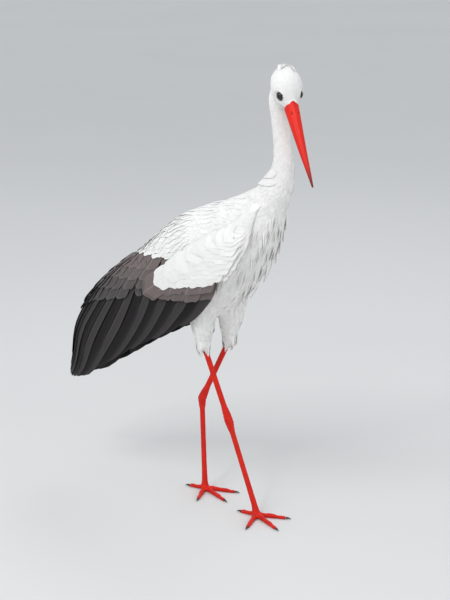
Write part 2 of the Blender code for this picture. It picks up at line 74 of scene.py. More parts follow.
# ---- the lie of the body: one row per station, in millimetres ----
# x, y, z of the centre, then half width, half depth towards the back, half depth towards the breast.
SPINE = [
    (173, -7, 985, 18, 17, 17),
    (165, -4, 947, 22.5, 22, 23),
    (167, 0, 900, 21.5, 22, 22),
    (173, 0, 852, 22, 22.5, 22.5),
    (176, 0, 806, 26, 26.5, 26),
    (167, 0, 764, 34, 36, 34),
    (147, 0, 726, 45, 50, 44),
    (112, 0, 680, 63, 73, 70),
    (68, 0, 637, 81, 93, 96),
    (15, 0, 593, 93, 110, 115),
    (-51, 0, 543, 97, 112, 119),
    (-121, 0, 494, 88, 101, 98),
    (-188, 0, 443, 62, 66, 58),
    (-232, 0, 407, 38, 30, 24),
]
SHOULDERS = 6  # station of SPINE where the wing bed's table starts
WING_BED = SPINE[SHOULDERS:SHOULDERS + 4] + [
    (-51, 0, 543, 97, 112, 119),
    (-121, 0, 494, 90, 106, 104),
    (-188, 0, 443, 78, 108, 88),
    (-254, 0, 389, 67, 105, 72),
    (-320, 0, 328, 54, 90, 56),
    (-372, 0, 272, 37, 46, 37),
    (-418, 0, 224, 14, 9, 9),
]
BED_CLEARANCE = 0.0016
BED_FLARE = 0.55  # 0 for a round underside of the bed, 1 for straight sides

# ---- wings, in rows of WING_BED and in degrees round it from the middle of the back ----
TOP_EDGE = 1.6
SCAPULAR_EDGE = 77.0
LOWER_EDGE = [76, 100, 116, 124, 132, 145, 148, 146, 142, 135, 125]
COVERTS_START = 0.9
COVERTS_BOW = 0.9
SHOULDER_EDGE = 82.0
SHOULDER_RUN = 1.6
WHITE, BROWN, DARK, BLACK = 0.0, 0.4, 0.75, 1.0  # markings

# ---- head, in its own frame: forward, sideways and up ----
HEAD_ANGLES = (-35.0, 52.0, 4.0)  # turn, pitch and roll, degrees
EYE_PLACE = (0.022, 0.0212, 0.005)
EYE_WAY = (0.34, 1.0, 0.10)  # where an eye looks
EYE_RADIUS = 0.0095
EYE_DEPTH = 0.74  # of the ball along its line of sight, as a share of its width
EYE_OPENING = 0.0071  # radius of the gap between the lids
BILL_BASE = 0.047
BILL_LENGTH = 0.190
BILL_AXIS_UP = -0.005
BILL_ROOT = np.array((BILL_BASE, 0, BILL_AXIS_UP))
BILL_HALF_WIDTH = 0.0152
BILL_HEIGHTS = {"upper": 0.0185, "lower": 0.0145}
BILL_TAPER = {"width": 0.92, "upper": 1.05, "lower": 1.25}
NOSTRIL_DEPTH = 0.0022
SHIELD_LENGTH = 0.008  # how far the bill's ridge runs back on the forehead
ROOT_DEPTH = 0.006  # and how far its sides run in under the feathers
GAPE_LENGTH = 0.033
GAPE_START = BILL_BASE + 0.003
GAPE_DROP = 0.015

# ---- skin ----
VOXEL = 0.0026
WINGS = [f"wing_{side}_{part}" for side in SIDES for part in ("coverts", "scapulars")]
LEGS = [f"{part}_{side}" for side in SIDES for part in ("shank", "tarsus", "foot")]
THIGHS = [f"thigh_{side}" for side in SIDES]
FLESH = ["head", "neck", "trunk", *THIGHS, *WINGS, *LEGS]
THIGH_END = min(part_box(name)[0].z for name in THIGHS)
COAT_DEPTH = {"head": 0.0020, "neck": 0.0034, "trunk": 0.0052, "thigh": 0.0045, "wing": 0.0076}
HEAD_REACH = 0.06  # of the face from the middle of the head
ANKLE_FOLDS = (-0.013, -0.006, 0.003, 0.010)  # heights over the ankle of the folds round it
LEG_PLATE = 0.0034  # width of a plate on the leg
TOE_PLATE = 0.0046  # length of a plate on a toe
RIM_ANGLE = 75.0  # sharper edges than this, such as a vane's rim, aren't rounded
PATCH = 0.003  # width of a feather's patch on its map


def mix(a, b, t):
    return a + (b - a) * t


def ease(t):
    t = np.clip(t, 0.0, 1.0)
    return t * t * (3 - 2 * t)


def bell(x, width):
    return np.exp(-(x / width) ** 2)


def unit(v):
    return v / np.maximum(np.linalg.norm(v, axis=-1, keepdims=True), 1e-12)


def vary(share, count):
    """Random factors round 1."""
    return RANDOM.uniform(1 - share, 1 + share, count)


def mirrored(place, side):
    return np.array((place[0], side * place[1], place[2]))


# ---- curves ----
def read_curve(rows, place):
    """Value and rate of change of the smooth curve through numbered rows, at a fractional row."""
    rows = np.asarray(rows, dtype=float)
    last = len(rows) - 1
    i = int(min(max(place, 0.0), last - 1e-9))
    t = place - i
    here, there = rows[i], rows[i + 1]
    before = rows[i - 1] if i > 0 else 2 * here - there
    after = rows[i + 2] if i + 2 <= last else 2 * there - here
    leave, arrive = (there - before) / 2, (after - here) / 2
    a = 2 * here - 2 * there + leave + arrive
    b = -3 * here + 3 * there - 2 * leave - arrive
    return ((a * t + b) * t + leave) * t + here, (3 * a * t + 2 * b) * t + leave


def station(rows, place):
    """Frame of a row table at a place: centre, left, dorsal and backward way, three half sizes."""
    value, rate = read_curve(rows, place)
    back = Vector(rate[:3]).normalized()
    left = Vector((0, 1, 0))
    left = (left - back * left.dot(back)).normalized()
    return Vector(value[:3]) * MM + ORIGIN, left, left.cross(back), back, [v * MM for v in value[3:6]]


def bed_point(side, place, angle, lift):
    """Point over the wing bed; lift is how far above it."""
    centre, left, up, _, (width, top, bottom) = station(WING_BED, place)
    s, c = sin(radians(angle)), cos(radians(angle))
    outward = s if c > 0 else mix(s, 1.0, BED_FLARE)
    depth = top if c > 0 else bottom
    lift += BED_CLEARANCE
    return centre + left * (side * (width + lift) * outward) + up * ((depth + lift) * c)


def lower_edge(place):
    return float(read_curve([[a] for a in LOWER_EDGE], place)[0][0])


def coverts_top(place):
    return mix(SHOULDER_EDGE, SCAPULAR_EDGE, float(ease((place - COVERTS_START) / SHOULDER_RUN)))


# ---- meshes ----
def read(items, key, width, kind=np.float32):
    out = np.empty(len(items) * width, kind)
    items.foreach_get(key, out)
    return out.reshape(-1, width)


def write(items, key, values, kind=np.float32):
    items.foreach_set(key, np.ascontiguousarray(values, kind).ravel())


def read_points(mesh):
    return read(mesh.vertices, "co", 3).astype(float)


def read_normals(mesh):
    return read(mesh.vertex_normals, "vector", 3).astype(float)


def write_points(mesh, points):
    write(mesh.vertices, "co", points)
    mesh.update()


def set_vectors(mesh, name, values):
    write(mesh.attributes.new(name, "FLOAT_VECTOR", "POINT").data, "vector", values)


def add_object(name, data, *materials):
    for m in materials:
        data.materials.append(m)
    thing = bpy.data.objects.new(name, data)
    bpy.context.scene.collection.objects.link(thing)
    return thing


def quads_of(grid):
    """Four-cornered faces between the points numbered in a grid."""
    return np.stack((grid[:-1, :-1], grid[:-1, 1:], grid[1:, 1:], grid[1:, :-1]), -1).reshape(-1, 4)


def mesh_of(name, points, quads):
    """Mesh from arrays of points and of four-cornered faces, shaded smooth."""
    mesh = bpy.data.meshes.new(name)
    mesh.vertices.add(len(points))
    write(mesh.vertices, "co", points)
    mesh.loops.add(quads.size)
    write(mesh.loops, "vertex_index", quads, np.int32)
    mesh.polygons.add(len(quads))
    write(mesh.polygons, "loop_start", np.arange(0, quads.size, 4), np.int32)
    mesh.update(calc_edges=True)
    mesh.validate()
    mesh.shade_smooth()
    mesh.set_sharp_from_angle(angle=radians(RIM_ANGLE))
    return mesh


def poured(shell, mesh):
    """The mesh, filled from a bmesh that isn't used again."""
    shell.to_mesh(mesh)
    shell.free()
    return mesh


def joined_nodes(names):
    """The shapes of several CAD nodes, as one bmesh."""
    shell = bmesh.new()
    for name in names:
        shell.from_mesh(NODES[name].data)
    return shell


def tube(name, points, around, attribute, values):
    """Closed mesh through rings of points, with flat ends; the attribute feeds its material."""
    grid = np.arange(len(points)).reshape(-1, around)
    shell = bmesh.new()
    verts = [shell.verts.new(p) for p in points]
    for face in (*quads_of(np.column_stack((grid, grid[:, 0]))), grid[0], grid[-1]):
        shell.faces.new([verts[i] for i in face])
    bmesh.ops.recalc_face_normals(shell, faces=shell.faces)
    mesh = poured(shell, bpy.data.meshes.new(name))
    mesh.shade_smooth()
    mesh.set_sharp_from_angle(angle=radians(60))
    set_vectors(mesh, attribute, np.array(values))
    return mesh


def apply_modifiers(thing):
    """The object's mesh with its modifiers, in place of its own."""
    graph = bpy.context.evaluated_depsgraph_get()
    made = bpy.data.meshes.new_from_object(thing.evaluated_get(graph))
    thing.modifiers.clear()
    thing.data = made
    return made


# ---- materials ----
class Shader:
    """A Principled material and short calls that add nodes to it."""

    def __init__(self, name, roughness, **fixed):
        self.material = bpy.data.materials.new(name)
        self.material.use_nodes = True
        self.tree = self.material.node_tree
        self.surface = self.tree.nodes["Principled BSDF"]
        self.set(self.surface, Roughness=roughness, **fixed)

    def set(self, node, **values):
        """Fill or link sockets, which go by their names, or by n and a number."""
        for key, value in values.items():
            numbered = key[0] == "n" and key[1:].isdigit()
            socket = node.inputs[int(key[1:]) if numbered else key.replace("_", " ")]
            if isinstance(value, bpy.types.NodeSocket):
                self.tree.links.new(value, socket)
            else:
                socket.default_value = value

    def node(self, kind, options=None, **values):
        made = self.tree.nodes.new("ShaderNode" + kind)
        for key, value in (options or {}).items():
            setattr(made, key, value)
        self.set(made, **values)
        return made

    def attribute(self, name):
        """Three numbers of a vector attribute."""
        read_in = self.node("Attribute", {"attribute_name": name})
        return self.node("SeparateXYZ", n0=read_in.outputs["Vector"]).outputs

    def math(self, operation, a, b=0.0):
        return self.node("Math", {"operation": operation}, n0=a, n1=b).outputs[0]

    def plus(self, a, b):
        return self.math("ADD", a, b)

    def times(self, a, b):
        return self.math("MULTIPLY", a, b)

    def ramp(self, value, *stops):
        """Colours at places from 0 to 1."""
        made = self.node("ValToRGB", n0=value)
        elements = made.color_ramp.elements
        while len(elements) < len(stops):
            elements.new(0.5)
        for element, (place, colour) in zip(elements, stops):
            element.position = place
            element.color = (*colour, 1)
        return made.outputs[0]

    def mixed(self, share, a, b, blend="MIX"):
        made = self.node("Mix", {"data_type": "RGBA", "blend_type": blend})
        self.set(made, n0=share, n6=a, n7=b)
        return made.outputs[2]

    def shaded(self, colour, shade):
        grey = self.node("CombineColor", n0=shade, n1=shade, n2=shade).outputs[0]
        return self.mixed(1.0, colour, grey, "MULTIPLY")

    def noise(self, scale, detail=4.0, coordinates=None):
        made = self.node("TexNoise", Scale=scale, Detail=detail)
        self.set(made, Vector=coordinates or self.node("TexCoord").outputs["Object"])
        return made.outputs["Fac"]

    def finished(self, colour, height, strength, distance):
        """The material, with its colour and its bumps."""
        bump = self.node("Bump", Strength=strength, Distance=distance, Height=height)
        self.set(self.surface, Base_Color=colour, Normal=bump.outputs[0])
        return self.material


WHITE_COLOUR = (0.84, 0.83, 0.81)
BROWN_COLOUR = (0.150, 0.118, 0.112)
DARK_COLOUR = (0.052, 0.047, 0.048)
BLACK_COLOUR = (0.010, 0.009, 0.010)
FRINGE_COLOUR = (0.42, 0.38, 0.36, 1)
SHAFT_COLOURS = ((0.76, 0.74, 0.70, 1), (0.030, 0.026, 0.026, 1))  # on white and on black


def marking_colour(shader, marking):
    return shader.ramp(marking, (WHITE, WHITE_COLOUR), (BROWN, BROWN_COLOUR), (DARK, DARK_COLOUR),
                       (BLACK, BLACK_COLOUR))


def feather_material(name, roughness, barb, edge, **fixed):
    """Vane with its barbs, its shaft and a paler fringe."""
    s = Shader(name, roughness, **fixed)
    across, along, tint = s.attribute("vane")
    reach, run, marking = s.attribute("barbs")
    aside = s.math("ABSOLUTE", across)
    shade = s.plus(s.plus(s.times(tint, 0.10), 0.92), s.times(s.noise(90.0), 0.10))
    base = s.shaded(marking_colour(s, marking), shade)
    fringe = s.math("MAXIMUM", s.math("POWER", aside, 7.0), s.math("POWER", along, 16.0))
    fringe = s.times(s.times(fringe, edge), s.math("MINIMUM", marking, 0.5))
    base = s.mixed(fringe, base, FRINGE_COLOUR)
    shaft = s.times(s.math("LESS_THAN", aside, 0.05), 0.22)
    base = s.mixed(shaft, base, s.mixed(marking, *SHAFT_COLOURS))
    phase = s.plus(run, s.times(s.math("ABSOLUTE", reach), 1.5))
    comb = s.math("SINE", s.times(phase, 2 * pi / barb))
    return s.finished(base, s.plus(comb, s.times(s.noise(700.0, 2.0), 1.2)), 0.32, 0.17 * barb)


def skin_material():
    """Skin under the coat, with its markings; bare dark skin round the eyes and in the fold of the mouth."""
    s = Shader("skin", 0.85)
    bare, _, marking = s.attribute("barbs")
    base = s.shaded(marking_colour(s, marking), s.plus(s.times(s.noise(160.0), 0.16), 0.90))
    face = s.ramp(s.noise(500.0), (0.3, (0.012, 0.011, 0.011)), (0.8, (0.045, 0.041, 0.041)))
    return s.finished(s.mixed(bare, base, face), s.noise(420.0, 5.0), 0.3, 0.0006)


def leg_material():
    """Bare red skin in small plates."""
    s = Shader("leg_skin", 0.46, Specular_IOR_Level=0.20)
    place = s.node("TexCoord").outputs["Object"]
    plates = s.node("TexVoronoi", {"feature": "DISTANCE_TO_EDGE"}, Vector=place, Scale=360.0)
    seam = s.ramp(plates.outputs["Distance"], (0.0, (1, 1, 1)), (0.16, (0, 0, 0)))
    base = s.ramp(s.noise(55.0), (0.30, (0.60, 0.012, 0.005)), (0.72, (0.82, 0.022, 0.008)))
    base = s.mixed(s.times(seam, 0.45), base, (0.25, 0.010, 0.006, 1))
    return s.finished(base, s.plus(s.times(seam, -1.0), s.noise(900.0)), 0.35, 0.0005)


def bill_material():
    """Red horn, streaked along its length and dusky at the tip, with painted shade in the nostrils and along
    the line where the mandibles meet; its attribute runs from base to tip.
    """
    s = Shader("bill_horn", 0.40, Specular_IOR_Level=0.20)
    out, round_, groove = s.attribute("horn")
    streak_place = s.node("CombineXYZ", n0=s.times(out, 2.0), n1=s.times(round_, 9.0))
    streaks = s.noise(6.0, 5.0, streak_place.outputs[0])
    base = s.ramp(out, (0.0, (0.74, 0.014, 0.005)), (0.10, (0.84, 0.018, 0.006)),
                  (0.72, (0.70, 0.013, 0.005)), (0.90, (0.22, 0.016, 0.010)), (1.0, (0.045, 0.012, 0.010)))
    base = s.mixed(s.times(streaks, 0.45), base, (0.40, 0.018, 0.010, 1))
    # painted shade: the nostril slits, darker the deeper they are, and the line where the mandibles meet
    base = s.mixed(s.math("POWER", groove, 2.4), base, (0.035, 0.006, 0.005, 1))
    return s.finished(base, streaks, 0.30, 0.0006)


def claw_material():
    s = Shader("claw_horn", 0.38)
    base = s.ramp(s.noise(220.0), (0.3, (0.018, 0.014, 0.013)), (0.8, (0.075, 0.055, 0.05)))
    return s.finished(base, s.noise(700.0), 0.25, 0.0004)


def eye_material():
    """Wet dark eye: its attribute is the distance from the middle of the pupil, as a share of the iris."""
    s = Shader("eye_ball", 0.08, Specular_IOR_Level=0.35, Coat_Weight=0.3, Coat_Roughness=0.03)
    out, round_, _ = s.attribute("iris")
    rays = s.noise(14.0, 3.0, s.node("CombineXYZ", n0=s.times(round_, 3.0), n1=out).outputs[0])
    iris = s.ramp(rays, (0.3, (0.010, 0.007, 0.006)), (0.75, (0.034, 0.022, 0.016)))
    base = s.mixed(s.ramp(out, (0.56, (1, 1, 1)), (0.62, (0, 0, 0))), iris, (0.004, 0.004, 0.004, 1))
    base = s.mixed(s.ramp(out, (0.93, (0, 0, 0)), (1.0, (1, 1, 1))), base, (0.012, 0.010, 0.010, 1))
    s.set(s.surface, Base_Color=base)
    return s.material


# ---- places on the body ----
def box_centre(node):
    low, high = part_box(node)
    return (low + high) / 2


def node_end(node, reach, top=False):
    """Middle of the corners of a node that are within reach of its lowest or highest point."""
    low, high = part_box(node)
    spots = [v.co for v in NODES[node].data.vertices
             if (v.co.z > high.z - reach if top else v.co.z < low.z + reach)]
    return sum(spots, Vector()) / len(spots)


def head_matrix():
    """From forward, left and up of the head to the bird's frame, with its place read from the eyes."""
    turn, pitch, roll = HEAD_ANGLES
    turned = Matrix.Rotation(radians(turn), 4, "Z") @ Matrix.Rotation(radians(pitch), 4, "Y")
    turned = turned @ Matrix.Rotation(radians(roll), 4, "X")
    middle = (box_centre("eye_left") + box_centre("eye_right")) / 2
    forward, _, up = EYE_PLACE
    return Matrix.Translation(middle - turned.to_3x3() @ Vector((forward, 0, up))) @ turned


HEAD = head_matrix()
HEAD_TURN = np.array(HEAD.to_3x3())
HEAD_PLACE = np.array(HEAD.translation)


def in_head(points):
    """Points in the head's own frame."""
    return (points - HEAD_PLACE) @ HEAD_TURN


def eye_gap(local):
    """Distance of points of the head from the nearer eye."""
    return np.minimum(*(np.linalg.norm(local - mirrored(EYE_PLACE, s), axis=1) for s in SIDES.values()))


def bill_gap(local):
    return np.linalg.norm(local - BILL_ROOT, axis=1)


def gape_gap(points):
    """How far each point is from the line of the mouth, and how far back along it."""
    local = in_head(points)
    t = np.clip((GAPE_START - local[:, 0]) / GAPE_LENGTH, 0, 1)
    line = BILL_AXIS_UP - 0.001 - GAPE_DROP * t ** 1.4
    return np.hypot(local[:, 2] - line, local[:, 0] - (GAPE_START - GAPE_LENGTH * t)), t


def nodes_tree(names):
    """Search tree over the CAD nodes' faces, and the node of each face."""
    points, faces, owner = [], [], []
    for name in names:
        mesh = NODES[name].data
        start = len(points)
        points += [v.co.copy() for v in mesh.vertices]
        faces += [[start + i for i in p.vertices] for p in mesh.polygons]
        owner += [name] * len(mesh.polygons)
    return BVHTree.FromPolygons(points, faces), owner


# ---- skin ----
def remeshed_flesh():
    thing = add_object("skin", poured(joined_nodes(FLESH), bpy.data.meshes.new("skin")))
    voxels = thing.modifiers.new("voxels", "REMESH")
    voxels.mode = "VOXEL"
    voxels.voxel_size = VOXEL
    calm = thing.modifiers.new("calm", "SMOOTH")
    calm.factor = 0.5
    calm.iterations = 3
    apply_modifiers(thing)
    return thing


def averaged(mesh, values, rounds):
    """Values averaged with their neighbours', over and over."""
    a, b = read(mesh.edges, "vertices", 2, np.int32).T
    count = np.bincount(np.concatenate((a, b)), minlength=len(values)).astype(float)
    for _ in range(rounds):
        total = np.bincount(a, values[b], len(values)) + np.bincount(b, values[a], len(values))
        values = 0.5 * values + 0.5 * total / np.maximum(count, 1)
    return values


def refine(mesh, chosen):
    """Cut the faces whose middle is chosen into four, and round the result off."""
    shell = bmesh.new()
    shell.from_mesh(mesh)
    keep = chosen(np.array([f.calc_center_median() for f in shell.faces]))
    edges = {e for f, k in zip(shell.faces, keep) if k for e in f.edges}
    made = bmesh.ops.subdivide_edges(shell, edges=list(edges), cuts=1, use_grid_fill=True)
    fresh = [g for g in made["geom_inner"] if isinstance(g, bmesh.types.BMVert)]
    bmesh.ops.smooth_vert(shell, verts=fresh, factor=0.5, use_axis_x=True, use_axis_y=True, use_axis_z=True)
    bmesh.ops.triangulate(shell, faces=[f for f in shell.faces if len(f.verts) > 4])
    poured(shell, mesh)


def thickness(mesh, points, normals):
    """How thick the body is behind each point."""
    tree = BVHTree.FromPolygons(points.tolist(), [tuple(f.vertices) for f in mesh.polygons])
    gaps = (tree.ray_cast(Vector(p - n * 0.0005), Vector(-n), 0.03)[3] for p, n in zip(points, normals))
    return np.array([0.1 if gap is None else gap for gap in gaps])


def on_face_or_leg(middles):
    local = in_head(middles)
    face = (local[:, 0] > -0.005) & (np.abs(local).max(1) < HEAD_REACH)
    return face | (middles[:, 2] < THIGH_END + 0.012)


def model_lids(points, normals):
    """Open the sockets and raise the lids' rims; gives each point's distance from an eye's line of sight."""
    local = in_head(points)
    nearest = np.full(len(points), 1.0)
    for side in SIDES.values():
        way = unit(mirrored(EYE_WAY, side))
        offset = local - mirrored(EYE_PLACE, side)
        depth = offset @ way
        away = np.linalg.norm(offset - depth[:, None] * way, axis=1)
        # the opening is a little longer than high
        oval = away * (1 + 0.10 * np.abs(offset[:, 2]) / np.maximum(away, 1e-6))
        here = depth > -0.004
        sink = ease((EYE_OPENING + 0.0004 - oval) / 0.0012) * here
        rim = bell(oval - EYE_OPENING - 0.0013, 0.0011) * here
        brow = bell(oval - EYE_OPENING - 0.0045, 0.0020) * here * (offset[:, 2] > 0)
        # the rim is brought to just over the ball, whatever the skin's height is there
        cover = EYE_DEPTH * np.sqrt(np.maximum(EYE_RADIUS ** 2 - away ** 2, 0)) + 0.0007
        lift = np.clip(cover - depth, -0.0045, 0.0045) * ease((EYE_OPENING + 0.0085 - oval) / 0.0075) * here
        move = lift - 0.0062 * sink + 0.0005 * rim
        points = points + (HEAD_TURN @ way)[None, :] * move[:, None] + normals * (0.0006 * brow)[:, None]
        nearest = np.where(here, np.minimum(nearest, oval), nearest)
    return points, nearest


def model_gape(points, normals):
    """A fold that carries the line of the mouth back from the bill to below the eye."""
    gap, t = gape_gap(points)
    near = (np.abs(in_head(points)[:, 1]) > 0.008) * (1 - ease(t) ** 3)
    groove = bell(gap, 0.0013) * near
    lip = bell(gap - 0.0027, 0.0011) * near
    return points + normals * (0.0004 * lip - 0.0012 * groove)[:, None], groove


def toe_lines():
    """For each toe, where it leaves the foot, its way and its length, read from the claws' boxes."""
    lines = []
    for side, toe in product(SIDES, TOES):
        root, claw = node_end(f"tarsus_{side}", 0.004), box_centre(f"claw_{side}_{toe}")
        root.z = claw.z = 0
        lines.append((root, (claw - root).normalized(), (claw - root).length))
    return lines


def model_leg_plates(points, normals):
    """Small plates on the legs, folds round the ankles and broad plates across the top of the toes."""
    height = np.zeros(len(points))
    for side in SIDES:
        ankle = np.array(node_end(f"tarsus_{side}", 0.006, top=True))
        near = np.linalg.norm(points - ankle, axis=1) < 0.030
        for fold in ANKLE_FOLDS:
            height -= 0.0008 * near * bell(points[:, 2] - ankle[2] - fold, 0.0013)
    lines = toe_lines()
    for i in np.flatnonzero(points[:, 2] < THIGH_END + 0.01):
        p = Vector(points[i])
        near, _ = noise.voronoi(p / LEG_PLATE)
        height[i] += 0.00028 * min((near[1] - near[0]) * 3, 1.0)
        if p.z > 0.022 or normals[i][2] < 0.15:
            continue
        for root, way, length in lines:
            run = (p - root).dot(way)
            aside = p - root - way * run
            aside.z = 0
            if 0.008 < run < length and aside.length < 0.009:
                height[i] = 0.00045 * abs(sin(pi * run / TOE_PLATE)) ** 0.5 * normals[i][2]
    return points + normals * height[:, None]


def build_skin():
    """One closed skin over all the flesh, each point's distance from an eye's line, and the gape's depth."""
    thing = remeshed_flesh()
    mesh = thing.data
    tree, owner = nodes_tree(FLESH)
    points, normals = read_points(mesh), read_normals(mesh)
    parts = (owner[tree.find_nearest(p)[2]].split("_")[0] for p in points)
    depth = np.array([COAT_DEPTH.get(part, 0.0) for part in parts])
    depth = averaged(mesh, np.minimum(depth, 0.40 * thickness(mesh, points, normals)), 14)
    depth *= ease((points[:, 2] - THIGH_END + 0.002) / 0.03)
    write_points(mesh, points - normals * depth[:, None])
    refine(mesh, on_face_or_leg)
    refine(mesh, lambda middles: eye_gap(in_head(middles)) < 2 * EYE_RADIUS)
    points, normals = read_points(mesh), read_normals(mesh)
    points, sight = model_lids(points, normals)
    points, gape = model_gape(points, normals)
    points = model_leg_plates(points, normals)
    points[:, 2] = np.maximum(points[:, 2], 0.0)
    write_points(mesh, points)
    mesh.shade_smooth()
    return thing, sight, gape


# ---- feathers ----
# Half widths at even steps from root to tip, places of the columns across, how round the tip is, thickness.
VANES = {
    "tuft": ([0.35, 0.95, 0.85, 0.12], [-1, 0, 1], 0.0, 0.00018),
    "contour": ([0.30, 0.78, 1.0, 0.98, 0.72, 0.16], [-1, 0, 1], 0.1, 0.00028),
    "covert": ([0.35, 0.74, 0.95, 1.0, 0.99, 0.88, 0.62, 0.14], [-1, -0.55, 0, 0.55, 1], 0.1, 0.00035),
    "wide": ([0.30, 0.60, 0.82, 0.94, 1.0, 1.0, 1.0, 0.97, 0.85, 0.48],
             [-1, -0.7, -0.35, 0, 0.35, 0.7, 1], 0.40, 0.0004),
    "plume": ([0.35, 0.85, 1.0, 0.86, 0.64, 0.40, 0.04], [-1, 0, 1], 0.0, 0.0003),
    "blade": ([0.28, 0.62, 0.84, 0.95, 1.0, 1.0, 1.0, 1.0, 0.99, 0.97, 0.93, 0.86, 0.74, 0.54, 0.14],
              [-1, -0.6, -0.07, 0, 0.07, 0.5, 1], 0.2, 0.0006),
}


def vane_steps(shape):
    return len(VANES[shape][0])


def both_faces(top, low):
    """Rows of a vane's upper points, then of the lower ones within its rim."""
    n, width = len(top), top.shape[-1]
    return np.concatenate((top.reshape(n, -1, width), low[:, 1:-1, 1:-1].reshape(n, -1, width)), axis=1)


class Coat:
    """Feathers gathered for one piece, over a surface."""

    def __init__(self, surface=None):
        self.surface = surface
        self.points, self.quads, self.count = [], [], 0
        self.fields = {"vane": [], "barbs": [], "OFBake": []}
        self.centres, self.markings = [], []

    def add(self, shape, paths, ups, half_widths, places, markings=WHITE, bend=0.0, lean=0.0, keel=0.0):
        """Closed vanes along paths (n, k, 3) that face ups (n, k, 3); places are their spots on the map.

        Bend drops a vane's sides, lean tilts it sideways and keel raises its shaft.
        """
        paths, ups, places = (np.asarray(values, float) for values in (paths, ups, places))
        profile, columns, tip_round, thick = (np.array(part) for part in VANES[shape])
        n, k, _ = paths.shape
        m = len(columns)
        half, marks = (np.broadcast_to(values, n).astype(float) for values in (half_widths, markings))
        ways = unit(np.gradient(paths, axis=1))
        aside = unit(np.cross(ways, ups))
        ups = np.cross(aside, ways)
        t = np.linspace(0, 1, k)[:, None]
        x = half[:, None, None] * profile[:, None] * columns
        y = -bend * x ** 2 + lean * x + keel * (np.abs(columns) < 0.01)
        top = paths[:, :, None] + aside[:, :, None] * x[..., None] + ups[:, :, None] * y[..., None]
        pull = tip_round * half[:, None, None] * columns ** 2 * t ** 5
        top = top - ways[:, :, None] * pull[..., None]
        points = both_faces(top, top - ups[:, :, None] * thick)
        grid = np.arange(k * m).reshape(k, m)
        under = grid.copy()
        under[1:-1, 1:-1] = np.arange(k * m, points.shape[1]).reshape(k - 2, m - 2)
        quads = np.concatenate((quads_of(grid)[:, ::-1], quads_of(under)))
        first = self.count + points.shape[1] * np.arange(n)
        self.quads.append((quads + first[:, None, None]).reshape(-1, 4))
        self.points.append(points.reshape(-1, 3))
        self.count += n * points.shape[1]
        run = np.cumsum(np.linalg.norm(np.diff(paths, axis=1, prepend=paths[:, :1]), axis=2), axis=1)
        tint = RANDOM.random(n)[:, None, None]
        u, v = places.T[:, :, None, None]
        made = {"vane": (columns, t, tint), "barbs": (x, run[:, :, None], marks[:, None, None]),
                "OFBake": (u + PATCH * columns / 2, v + PATCH * (t - 0.5))}
        for name, parts in made.items():
            field = np.stack([np.broadcast_to(part, (n, k, m)) for part in parts], -1)
            self.fields[name].append(both_faces(field, field).reshape(-1, len(parts)))
        self.centres.append(paths[:, 3 * k // 4])
        self.markings.append(marks)

    def grow(self, shape, spots, ways, lengths, slim, rises, places, bend, **loose):
        """White feathers along the surface; slim is their half width as a share of their length."""
        paths, ups = self.surface.walk(spots, ways, lengths, vane_steps(shape), rises, **loose)
        self.add(shape, paths, ups, lengths * slim, places, bend=bend)

    def build(self, name, material):
        quads = np.concatenate(self.quads)
        mesh = mesh_of(name, np.concatenate(self.points), quads)
        vane, barbs, patches = (np.concatenate(parts) for parts in self.fields.values())
        set_vectors(mesh, "vane", vane)
        set_vectors(mesh, "barbs", barbs)
        write(mesh.uv_layers.new(name="OFBake").data, "uv", patches[quads.ravel()])
        thing = add_object(name, mesh, material)
        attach(thing, "root")
        return thing


CROWD = 7.0  # random tries for each square of the gap


